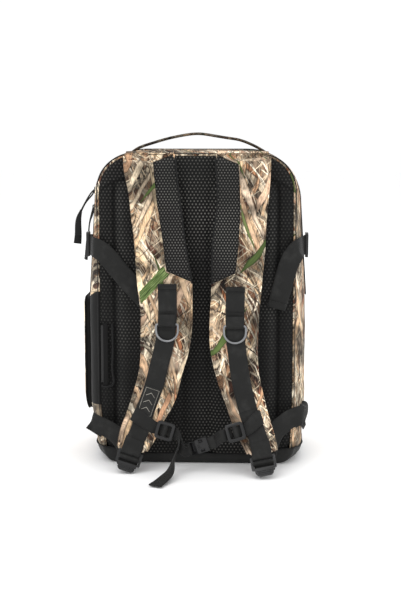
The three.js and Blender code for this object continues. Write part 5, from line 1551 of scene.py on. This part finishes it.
# ------------------------------------------------------------ sternum strap
KEEP = {"left": (13.55, 2.6, 16.6), "right": (14.0, -1.0, 14.2)}
SQ = {"left": ((-45.2,-138.9,63.5), (.96,0,-.28), (.28,.07,.96)), "right": ((61.6,-148.2,64.6), (.96,.02,.28), (-.28,.3,.9))}
for side in ("left", "right"):
    S = straps[side]
    wz = np.array(WEB[side], float)
    zk = {"left": 81.0, "right": 80.0}[side]
    xc = float(spline(-wz[:, 0], wz[:, 1], [-zk])[0])
    Pk, tk, wk, nk = S.front(np.array([zk]), np.array([xc]))
    ti, n0 = tk[0], nk[0]
    wd = unit(np.cross(ti, n0)); wd = wd if wd[0] > 0 else -wd
    c, ex, up = [np.array(v, float) for v in SQ[side]]
    ex = unit(ex); up = unit(up - ex * np.dot(up, ex)); nn = np.cross(ex, up); nn = nn if nn[1] < 0 else -nn
    inn = 1 if side == "left" else -1
    outer = Pk[0] - wd * inn * 16.5 + n0 * 1.4
    c0 = Pk[0] + n0 * 3.2
    near = c - ex * inn * 11.0
    a0 = Pk[0] - wd * inn * 14.6 + n0 * 3.0
    a1 = near - ex * inn * 4.0 - nn * 2.6
    C = [outer, a0, a0 * 0.6 + a1 * 0.4 + n0 * 1.6, a1 - ex * inn * 1.5 + nn * 0.4, near - nn * 3.0, c - ex * inn * 5.0 - nn * 0.6, c - ex * inn * 1.6 + nn * 3.0, c + ex * inn * 1.8 + nn * 2.6, c + ex * inn * 2.8 - nn * 0.4, c - ex * inn * 0.5 - nn * 3.6, c - ex * inn * 8.0 - nn * 4.8]
    hw_ = [10.6, 10.6, 10.0, 9.0, 8.7, 8.7, 8.7, 8.7, 8.7, 8.7, 8.7]
    kp = ribbon("sternum_keeper_" + side, C, [ti, ti, ti, -up] + [-up] * 7, hw_, 1.7, WEBM, n_len=90, n_w=9)
    put(kp, side + "_strap", "sternum_keeper_" + side, slot="webbing")
    rg = prism("sq", rrect(27.4, 27.4, 4.6, n=6), -1.7, 2.1, (c + nn * 0.4, ex, up, nn), PLAST, holes=(rrect(18.6, 18.6, 2.4, n=5),), bev=1.1, segs=3)
    cb = bar("cb", c - up * 10.2 + nn * 0.6, c + up * 10.2 + nn * 0.6, 1.7, PLAST)
    rg = join("sternum_ring_" + side, [rg, cb])
    put(rg, side + "_strap", "sternum_ring_" + side, slot="black_plastic")

SL = math.radians(17.5)
BX = np.array([math.cos(SL), 0, math.sin(SL)]); BZ = np.array([-math.sin(SL), 0, math.cos(SL)]); BY = np.array([0, -1.0, 0])
BC = np.array([2.0, -137.0, 38.6])
onb = lambda x, y, z: BC + BX * x - BY * y * -1 * -1 + BZ * z
FRB = (BC, BX, BZ, BY)
# female half: a shell with a window for each prong
fem = prism("f1", [(0, -9.5), (1.5, -11), (15, -11), (19, -10.4), (19, 10.4), (15, 11), (1.5, 11), (0, 9.5)], 2.2, 4.0, FRB, PLAST, holes=(rrect(6.2, 5.0, 1.0, cx=9.0, cy=7.4),rrect(6.2, 5.0, 1.0, cx=9.0, cy=-7.4)), bev=0.6)
fem2 = prism("f2", [(0, -9.5), (1.5, -11), (15, -11), (19, -10.4), (19, 10.4), (15, 11), (1.5, 11), (0, 9.5)], -4.0, -2.2, FRB, PLAST, bev=0.6)
fem3 = prism("f3", [(1.0, -10.8), (15, -10.8), (15, -8.9), (1.0, -9.2)], -2.4, 2.4, FRB, PLAST, bev=0.3)
fem4 = prism("f4", [(1.0, 10.8), (15, 10.8), (15, 8.9), (1.0, 9.2)], -2.4, 2.4, FRB, PLAST, bev=0.3)
fem5 = prism("f5", rrect(1.4, 19, 0.5, cx=15.0), -2.4, 2.4, FRB, PLAST, bev=0.3)
fem6 = prism("f6", rrect(1.6, 20, 0.6, cx=18.2), -2.4, 2.4, FRB, PLAST, bev=0.3)
rib = [bar("r", onb(3.0 + i * 1.6, 0, -3.0) + BY * 4.1, onb(3.0 + i * 1.6, 0, 3.0) + BY * 4.1, 0.45, PLAST) for i in range(3)]
put(join("buckle_female", [fem, fem2, fem3, fem4, fem5, fem6] + rib), "right_strap", "buckle_female", slot="black_plastic")
male = prism("m1", [(-17, -9.2), (-15.8, -10.5), (-2.2, -10.5), (-0.4, -8.6), (-0.4, 8.6), (-2.2, 10.5), (-15.8, 10.5), (-17, 9.2)], -2.6, 2.6, FRB, PLAST, holes=(rrect(3.0, 17.6, 0.8, cx=-13.5), rrect(3.0, 17.6, 0.8, cx=-8.0)), bev=0.7, segs=3)
mrib = [bar("r", onb(-3.6, 0, -6.0) + BY * 2.7, onb(-3.6, 0, 6.0) + BY * 2.7, 0.6, PLAST), bar("r", onb(-10.75, 0, -8.8) + BY * 2.2, onb(-10.75, 0, 8.8) + BY * 2.2, 1.3, PLAST)]
guide = prism("g", [(-0.6, -1.4), (12.5, -1.2), (14.0, 0), (12.5, 1.2), (-0.6, 1.4)], -1.3, 1.3, FRB, PLAST, bev=0.4)
put(join("buckle_male", [male, guide] + mrib), "sternum_male", "buckle_male", slot="black_plastic")
for nm, sg in (("upper", 1), ("lower", -1)):
    pr = prism("buckle_prong_" + nm, [(0.3, sg * 3.8), (4.0, sg * 4.4), (8.0, sg * 5.4), (10.6, sg * 4.8), (11.6, sg * 5.6), (11.2, sg * 7.2), (9.0, sg * 8.2), (6.4, sg * 7.9), (3.0, sg * 6.4), (0.3, sg * 5.8)], -1.85, 1.85, FRB, PLAST, bev=0.45)
    pr.name = "buckle_prong_" + nm
    put(pr, nm + "_prong", "buckle_prong_" + nm, slot="black_plastic")

# webbing from the female half to the right ring: out and back as a loop
c, ex, up = [np.array(v, float) for v in SQ["right"]]
ex = unit(ex); up = unit(up - ex * np.dot(up, ex)); nn = np.cross(ex, up); nn = nn if nn[1] < 0 else -nn
far = c - ex * 11.6
bk = onb(16.6, 0, 0)
C = [bk - BX * 2.0 + BY * -1.4, bk + BX * 0.8 + BY * 0.2, bk + BX * 3.4 + BY * 2.6, onb(27, 0, 0) + BY * 2.2, far - ex * 9 + nn * 1.4, far - ex * 4 - nn * 0.6, far - nn * 2.9, far + ex * 5.0 - nn * 3.2, far + ex * 5.0 - nn * 4.9, far - ex * 6 - nn * 4.4, onb(27, 0, 0) - BY * 2.2, bk + BX * 3.0 - BY * 2.8]
sw = ribbon("sternum_webbing_right", C, [BZ] * 4 + [up] * 6 + [BZ] * 2, 8.6, 1.5, WEBM, n_len=130, n_w=9)
put(sw, "right_strap", "sternum_webbing_right", slot="webbing")
fold = ribbon("sternum_fold", [onb(22.0, 0, 0) + BY * 3.7, onb(26.5, 0, 0) + BY * 3.6, onb(31.0, 0, 0) + BY * 3.9], [BZ] * 3, 9.0, 1.5, WEBM, n_len=16, n_w=9)
put(fold, "right_strap", slot="webbing")

# webbing from the left ring to the male half, turning edge-on between them
c, ex, up = [np.array(v, float) for v in SQ["left"]]
ex = unit(ex); up = unit(up - ex * np.dot(up, ex)); nn = np.cross(ex, up); nn = nn if nn[1] < 0 else -nn
far = c + ex * 11.6
mb = onb(-10.75, 0, 0)
C = [far - ex * 8.0 - nn * 3.4, far - ex * 4.5 - nn * 3.0, far - nn * 2.9, far + ex * 4.5 - nn * 0.6, (-25.0, -141.6, 55.0), (-21.6, -142.4, 47.0), (-18.6, -141.6, 39.5), mb - BX * 5.4 + BY * 3.0 - BZ * 0.6, mb + BY * 3.4 - BZ * 0.3, mb + BX * 2.8 + BY * 0.4, mb + BX * 2.0 - BY * 3.0]
W = [up, up, up, up * 0.9 + np.array([.25, -0.2, 0]), np.array([.42, -.62, .66]), np.array([.30, -.80, .52]), np.array([.12, -.55, .82]), BZ, BZ, BZ, BZ]
sw = ribbon("sternum_webbing_left", C, W, 8.9, 1.6, WEBM, n_len=140, n_w=9)
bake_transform(sw)
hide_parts("sternum_webbing_left")

# loose tail down to the floor
T = [((-23.2,-141.6,62.0),(.10,-.93,.35)),((-22.6,-142.8,52.0),(.05,-.97,.22)),((-24.4,-146.5,41.0),(.10,-.96,.24)),((-28.4,-152.0,30.5),(.10,-.97,.2)),((-32.4,-163,21.5),(.22,-.94,.25)),((-35.2,-176,14.0),(.48,-.85,.2)),((-39.6,-192,8.4),(.80,-.60,.06)),((-47.0,-208,4.8),(.94,-.34,.02)),((-53.5,-223.5,3.1),(.95,-.3,0))]
tl = ribbon("sternum_tail", [a for a, _ in T], [b for _, b in T], [3.6, 7.0, 8.4, 9.0, 9.4, 9.8, 9.9, 10, 10], 1.9, WEBM, n_len=110, n_w=11)
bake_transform(tl)
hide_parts("sternum_tail")
# rolled and stitched end, with cross ribs
cT = np.array([-53.5, -224.0, 4.4]); dT = unit(np.array([-7.0, -16, -0.6])); wT = unit(np.array([.94, -.38, 0]))
ribs = [tube("t", [cT - dT * (2.0 + 2.6 * i) - wT * 9.6, cT - dT * (2.0 + 2.6 * i) + [0, 0, .3], cT - dT * (2.0 + 2.6 * i) + wT * 9.6], 0.9, WEBM, seg=8, n=8) for i in range(4)]
ribs.append(ribbon("e", [cT - dT * 12 - [0, 0, .2], cT - dT * 5, cT + dT * 0.6 - [0, 0, .5]], [wT] * 3, 10.1, 1.6, WEBM, n_len=18, n_w=9))
put(join("tail_end", ribs), "sternum_male", slot="webbing")

# ------------------------------------------------------------- haul handle
HX = [(-99.5, 479.0), (-92, 484.4), (-72.5, 492.0), (-47.9, 499.3), (-23.5, 504.6), (2.1, 507.4), (25.2, 504.6), (49.6, 500.7), (64.3, 498.2), (81.2, 492.1), (95.9, 484.8), (104.5, 479.4)]
C = [(x, -54.0, z) for x, z in HX]
hd = ribbon("haul_handle", C, [(0, 1, 0)] * len(C), [9, 9, 9.4, 9.8, 10, 10, 10, 10, 9.8, 9.4, 9, 9], 4.2, HANDLEF, n_len=120, n_w=13, crown=0.0)
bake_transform(hd)
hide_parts("haul_handle")
for yy in (-63.6, -44.4):
    hb = tube("handle_binding_%d" % (1 if yy < -50 else 2), [(x, yy, z) for x, z in HX], 1.3, HANDLEF, seg=8, n=160)
    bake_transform(hb)

# webbing tab that stands off the lower right side
ht = ribbon("side_tab_right", [(160.5, -72, 90), (167.5, -66, 88.5), (171.6, -58, 81), (171.0, -56, 68), (169.0, -57, 57), (171.2, -56, 51)], [(.42, .90, 0)] * 6, 7.0, 1.9, WEBM, n_len=60, n_w=9)
put(ht, "pack", slot="webbing")

# ================================================================= pockets
def remap(o, f):
    for v in o.data.vertices:
        v.co = Vector(f(v.co.x / MM, v.co.y / MM, v.co.z / MM)) * MM
    o.data.update()
    return outward(o)


def repaint(o, mat, test):
    """Give mat to every face whose centre (mm) and normal pass the test."""
    o.data.materials.append(mat)
    k = len(o.data.materials) - 1
    for p in o.data.polygons:
        c = p.center / MM
        if test(c, p.normal):
            p.material_index = k
    return o


def rim(d, r):
    return 1 - math.sqrt(max(0.0, 1 - (1 - min(1.0, d / r)) ** 2))


# lid pocket
def lid_pocket_depth(x, z, d):
    y = 109.0 - 16.6 * rim(d, 8.0)
    y += (nz(x, 7, z, 0.017, 3.9) * 0.9 + nz(x, 7, z, 0.05, 8.2) * 0.4) * sstep(d, 6, 20) - 0.8 * sstep(d, 4, 10) + 0.4
    y -= 1.6 * gauss(z - 395, 5.5) * sstep(d, 6, 12)
    return min(y, 109.2)


lp = panel("lid_pocket_panel", 118, 286, 418, 16, 16, lid_pocket_depth, 1, CAMO, t=2.4, nx=80, step=3.2)
repaint(lp, BOOT, lambda c, n: c.y < 103.5)
puff(lp, 2.0, 1.2)
put(lp, "lid", "lid_pocket", slot="camo_fabric")
zr = ribbon("lid_pocket_zip", [(-106, 108.8, 395), (-50, 109.0, 395), (50, 109.0, 395), (106, 108.8, 395)], [(0, 0, 1)] * 4, 6.5, 1.2, ZIPM, n_len=60)
put(zr, "lid", slot="zip_coil")
pp = []
for t in np.linspace(0, 2 * math.pi, 60, endpoint=False):
    cxs = 102.0 if math.cos(t) > 0 else -102.0
    czs = 402.0 if math.sin(t) > 0 else 302.0
    pp.append((cxs + 16 * math.cos(t), 106.4, czs + 16 * math.sin(t)))
pp = [(118, 106.4, z) for z in np.linspace(304, 400, 10)] + [(102 + 16 * math.cos(t), 106.4, 402 + 16 * math.sin(t)) for t in np.linspace(0, math.pi / 2, 7)] + \
     [(x, 106.4, 418) for x in np.linspace(98, -98, 16)] + [(-102 + 16 * math.cos(t), 106.4, 402 + 16 * math.sin(t)) for t in np.linspace(math.pi / 2, math.pi, 7)] + \
     [(-118, 106.4, z) for z in np.linspace(400, 304, 10)] + [(-102 + 16 * math.cos(t), 106.4, 302 + 16 * math.sin(t)) for t in np.linspace(math.pi, 1.5 * math.pi, 7)] + \
     [(x, 106.4, 286) for x in np.linspace(-98, 98, 16)] + [(102 + 16 * math.cos(t), 106.4, 302 + 16 * math.sin(t)) for t in np.linspace(1.5 * math.pi, 2 * math.pi, 7)]
pb = tube("lid_pocket_piping", pp, 1.6, BIND, seg=8, closed=True, n=300)
put(pb, "lid", slot="base_fabric")


# open-topped slip pocket on the lower front
def slip_depth(x, z, d):
    d2 = min(124 - abs(x), z - 62)
    if z < 78 and abs(x) > 108:
        d2 = min(d2, 16 - math.hypot(abs(x) - 108, 78 - z))
    d2 = max(0.0, d2)
    y = 106.6 - 14.0 * rim(d2, 12.0)
    y += (nz(x, 5, z, 0.016, 6.4) * 0.8 + nz(x, 5, z, 0.05, 2.2) * 0.4) * sstep(d2, 6, 20)
    y -= 2.6 * sstep(z, 205, 232) * (1 - (x / 124.0) ** 2) * 0.5
    return min(y, 107.2)


sp = panel("front_slip_pocket_panel", 124, 62, 232, 0, 16, slip_depth, 1, CAMO, t=2.4, nx=80, step=3.6)
puff(sp, 2.0, 1.2)
put(sp, "pack", "front_slip_pocket", slot="camo_fabric")
rimp = [(-123.6, 93.5, 232), (-119, 100, 232), (-110, 105.6, 232)] + [(x, 106.4 - 1.3 * (1 - (x / 124.0) ** 2), 232) for x in np.linspace(-96, 96, 12)] + [(110, 105.6, 232), (119, 100, 232), (123.6, 93.5, 232)]
rb = tube("slip_pocket_binding", [(x, y - 1.2, z - 1.0) for x, y, z in rimp], 2.0, BIND, seg=8, n=120, flat=None)
put(rb, "pack", slot="base_fabric")
eb = [(-124.4, 94.2, z) for z in np.linspace(230, 80, 14)] + [(-108 + 16.4 * math.cos(t), 94.2, 78 + 16.4 * math.sin(t)) for t in np.linspace(math.pi, 1.5 * math.pi, 7)] + \
     [(x, 94.2, 61.6) for x in np.linspace(-104, 104, 16)] + [(108 + 16.4 * math.cos(t), 94.2, 78 + 16.4 * math.sin(t)) for t in np.linspace(1.5 * math.pi, 2 * math.pi, 7)] + \
     [(124.4, 94.2, z) for z in np.linspace(80, 230, 14)]
put(tube("slip_pocket_edge", eb, 1.3, BIND, seg=7, n=260), "pack", slot="base_fabric")


# zipped pocket on the left wall, with a black gusset
def side_depth(x, z, d):
    y = 13.0 * (1 - rim(d, 5.5)) - 0.5 + 1.6 * (1 - (x / 37.0) ** 2) * (1 - ((z - 158) / 92.0) ** 2)
    y += (nz(x, 9, z, 0.02, 1.7) * 0.8 + nz(x, 9, z, 0.06, 5.5) * 0.4) * sstep(d, 4, 12)
    return max(-0.5, min(y, 13.2))


spk = panel("side_pocket_panel", 37, 66, 250, 14, 14, side_depth, 1, CAMO, t=2.2, nx=40, step=3.0)
remap(spk, lambda x, y, z: (-170.2 - y, 23.0 + x, z))
repaint(spk, SIDEF, lambda c, n: c.x > -180.2)
put(spk, "pack", "side_pocket", slot="camo_fabric")
def pocket_outline(ins, xx):
    a0, a1, b0, b1, r = -14 + ins, 60 - ins, 66 + ins, 250 - ins, 12
    q = [(xx, a1, z) for z in np.linspace(b0 + r, b1 - r, 14)]
    q += [(xx, a1 - r + r * math.cos(t), b1 - r + r * math.sin(t)) for t in np.linspace(0, math.pi / 2, 6)[1:]]
    q += [(xx, y, b1) for y in np.linspace(a1 - r, a0 + r, 6)[1:]]
    q += [(xx, a0 + r + r * math.cos(t), b1 - r + r * math.sin(t)) for t in np.linspace(math.pi / 2, math.pi, 6)[1:]]
    q += [(xx, a0, z) for z in np.linspace(b1 - r, b0 + r, 14)[1:]]
    q += [(xx, a0 + r + r * math.cos(t), b0 + r + r * math.sin(t)) for t in np.linspace(math.pi, 1.5 * math.pi, 6)[1:]]
    q += [(xx, y, b0) for y in np.linspace(a0 + r, a1 - r, 6)[1:]]
    q += [(xx, a1 - r + r * math.cos(t), b0 + r + r * math.sin(t)) for t in np.linspace(1.5 * math.pi, 2 * math.pi, 6)[1:-1]]
    return q


put(tube("side_pocket_piping", pocket_outline(1.2, -180.4), 1.4, SIDEF, seg=8, closed=True, n=260), "pack", slot="base_fabric")
put(tube("side_pocket_seam", pocket_outline(-0.4, -171.2), 1.3, BIND, seg=7, closed=True, n=260), "pack", slot="base_fabric")
sz = ribbon("side_pocket_zip", [(-176.2, 59.9, 82), (-176.6, 60.2, 120), (-176.6, 60.3, 200), (-176.4, 59.9, 236)], [(1, 0, 0)] * 4, 4.2, 1.2, ZIPM, n_len=60)
put(sz, "pack", slot="zip_coil")


# soft divider inside the main compartment
def sleeve_depth(x, z, d):
    y = -56.4 - 1.2 * (1 - sstep(d, 0, 8)) + nz(x, 2, z, 0.02, 2.0) * 0.6 - 3.0 * rim(min(125 - abs(x), z - 12 + 0.0), 16.0) * 4.0
    return max(-76.8, y)


slv = panel("laptop_sleeve_panel", 125, 12.4, 300, 0, 14, sleeve_depth, 1, LINING, t=2.0, nx=50, step=6.0)
put(slv, "pack", "laptop_sleeve", slot="lining")
put(tube("sleeve_binding", [(x, -57.4, 300.2) for x in np.linspace(-123, 123, 20)], 1.8, BIND, seg=8), "pack", slot="base_fabric")

# ---------------------------------------------------------- zip pulls
def slider(name, body, node_, o, out, along, across, wd=8.0, ht=12.4, th=3.4):
    """Slider body with its bridge: out = away from the zip, along = the way it runs."""
    o = np.array(o, float); out = np.array(out, float); along = np.array(along, float); across = np.array(across, float)
    poly = [(-wd * .5, ht * .5 - 1.6), (-wd * .32, ht * .5), (wd * .32, ht * .5), (wd * .5, ht * .5 - 1.6), (wd * .40, 0), (wd * .34, -ht * .5 + 1), (wd * .22, -ht * .5), (-wd * .22, -ht * .5), (-wd * .34, -ht * .5 + 1), (-wd * .40, 0)]
    a = prism("s", poly, 0.0, 1.1, (o + out * 1.2, across, along, out), SLIDER, bev=0.3)
    b = prism("s", poly, 0.0, 0.9, (o - out * 1.2, across, along, out), SLIDER, bev=0.25)
    top = o + out * 2.1
    br = tube("br", [top + along * 4.2, top + along * 3.8 + out * 1.3, top + out * 1.5, top - along * 3.8 + out * 1.3, top - along * 4.2], 0.75, SLIDER, seg=8, n=24)
    core = prism("c", [(-0.8, -2), (0.8, -2), (1.6, 3), (-1.6, 3)], -1.0, 1.4, (o, across, along, out), SLIDER, bev=0.2)
    return put(join(name, [a, b, br, core]), body, node_, slot="dark_steel")


def pull(name, body, node_, pts, wdir, face, grips, cord_r=1.05):
    """Cord loop from the slider to a moulded grip that widens to its end: pts is the centre line."""
    wdir = np.array(wdir, float); face = np.array(face, float)
    P = [np.array(p, float) for p in pts]
    parts = []
    # two legs of the cord
    for s in (-1, 1):
        c = [P[0] + face * 0.5, P[0] + wdir * s * 0.7 + (P[1] - P[0]) * 0.08, P[1] + wdir * s * 0.75, P[2] + wdir * s * 0.6]
        parts.append(tube("leg", c, cord_r * 0.85, WEBF, seg=8, n=40))
    g0 = ribbon("grip", [p for p in P[2:]], [wdir] * len(P[2:]), grips, 2.5, GRIP, n_len=50, n_w=9, edge=0.5)
    parts.append(g0)
    d = unit(P[-1] - P[-2])
    for i in range(4):
        q = P[-1] - d * (3.5 + i * 3.4)
        w_ = grips[-1] * 0.72
        parts.append(tube("rib", [q - wdir * w_ - face * 0, q + face * 0.35, q + wdir * w_], 0.8, GRIP, seg=6, n=8))
        for e_ in parts[-1].data.vertices:
            e_.co += Vector(face * 1.05 * MM)
    parts.append(tube("knot", [P[2] - d * 3.0, P[2], P[2] + d * 2.6], [1.5, 2.0, 1.6], GRIP, seg=10, n=12))
    return put(join(name, parts), body, node_, slot="black_plastic")


slider("zip_slider_upper", "upper_slider", "zip_slider_upper", (-157.9, -30.0, 420.5), (-0.976, 0, 0.218), (-0.218, 0, -0.976), (0, 1, 0))
slider("zip_slider_lower", "lower_slider", "zip_slider_lower", (-160.6, -30.0, 392.5), (-0.998, 0, 0.065), (0.065, 0, 0.998), (0, 1, 0))
pull("zip_pull_upper", "upper_pull", "zip_pull_upper", [(-161.4, -33.0, 420.8), (-173, -35.6, 404), (-182.5, -35.6, 387), (-185.5, -35.6, 378), (-187, -35.6, 352), (-188.4, -35.6, 337)], (.99, 0, .10), (0, -1, 0), [1.9, 3.4, 4.8, 5.4], cord_r=1.35)
pull("zip_pull_lower", "lower_pull", "zip_pull_lower", [(-163.6, -30.5, 392.8), (-168.5, -29.4, 374), (-171.5, -29.4, 352), (-172.8, -29.4, 345), (-175, -29.4, 322), (-176.2, -29.4, 311)], (.62, -.78, 0), (-.78, -.62, 0), [1.8, 3.0, 3.9, 4.2], cord_r=1.25)
slider("side_slider", "pocket_slider", "side_slider", (-176.6, 61.2, 220), (0, 1, 0), (0, 0, 1), (1, 0, 0), wd=5.4, ht=11.6)
pull("side_pull", "pocket_pull", "side_pull", [(-176.7, 63.9, 219.5), (-176.7, 65.2, 210), (-176.7, 65.4, 202), (-176.7, 65.4, 197), (-176.7, 65.4, 186), (-176.7, 65.4, 177)], (1, 0, 0), (0, 1, 0), [1.1, 1.6, 1.8, 1.85], cord_r=0.8)
slider("lid_pocket_slider", "lid_slider", "lid_pocket_slider", (-94, 110.6, 395), (0, 1, 0), (1, 0, 0), (0, 0, 1), wd=7.6, ht=11.8)
pull("lid_pocket_pull", "lid_pull", "lid_pocket_pull", [(-94, 112.4, 393.5), (-94, 114.0, 386), (-94, 114.4, 379), (-94, 114.4, 374), (-94, 114.4, 362), (-94, 114.4, 353)], (1, 0, 0), (0, 1, 0), [1.1, 1.7, 1.9, 1.95], cord_r=0.8)

# ----------------------------------------------------------- floor and light
def stage_and_light():
    me = bpy.data.meshes.new("floor")
    s = 14.0
    me.from_pydata([(-s, -s, 0), (s, -s, 0), (s, s, 0), (-s, s, 0)], [], [(0, 1, 2, 3)])
    fl = bpy.data.objects.new("floor", me)
    scene.collection.objects.link(fl)
    g = G("floor")
    n = g.noise(g.coord("Object"), 3.0, 2.0)
    g.put(g.b.inputs["Base Color"], g.mix(n.outputs[0], (0.978, 0.978, 0.978, 1), (0.988, 0.988, 0.988, 1)))
    g.b.inputs["Roughness"].default_value = 0.8
    g.b.inputs["Specular IOR Level"].default_value = 0.1
    me.materials.append(g.m)
    w = bpy.data.worlds.new("studio")
    scene.world = w
    w.use_nodes = True
    bg = w.node_tree.nodes["Background"]
    bg.inputs[0].default_value = (1, 1, 1, 1)
    bg.inputs[1].default_value = 1.02
    for nm, loc, aim, size, power in (
        ("key", (-1.6, -2.6, 2.6), (0, 0, 0.25), 2.2, 26),
        ("fill", (2.6, -2.0, 1.6), (0, 0, 0.25), 2.2, 12),
        ("top", (0.2, -0.3, 3.2), (0, 0, 0.2), 2.6, 26),
        ("back", (0.4, 3.0, 2.2), (0, 0, 0.25), 2.4, 18),
    ):
        ld = bpy.data.lights.new(nm, "AREA")
        ld.energy = power
        ld.size = size
        lo = bpy.data.objects.new(nm, ld)
        scene.collection.objects.link(lo)
        lo.location = loc
        lo.rotation_euler = (Vector(aim) - Vector(loc)).to_track_quat("-Z", "Y").to_euler()
    scene.view_settings.view_transform = "Standard"


stage_and_light()
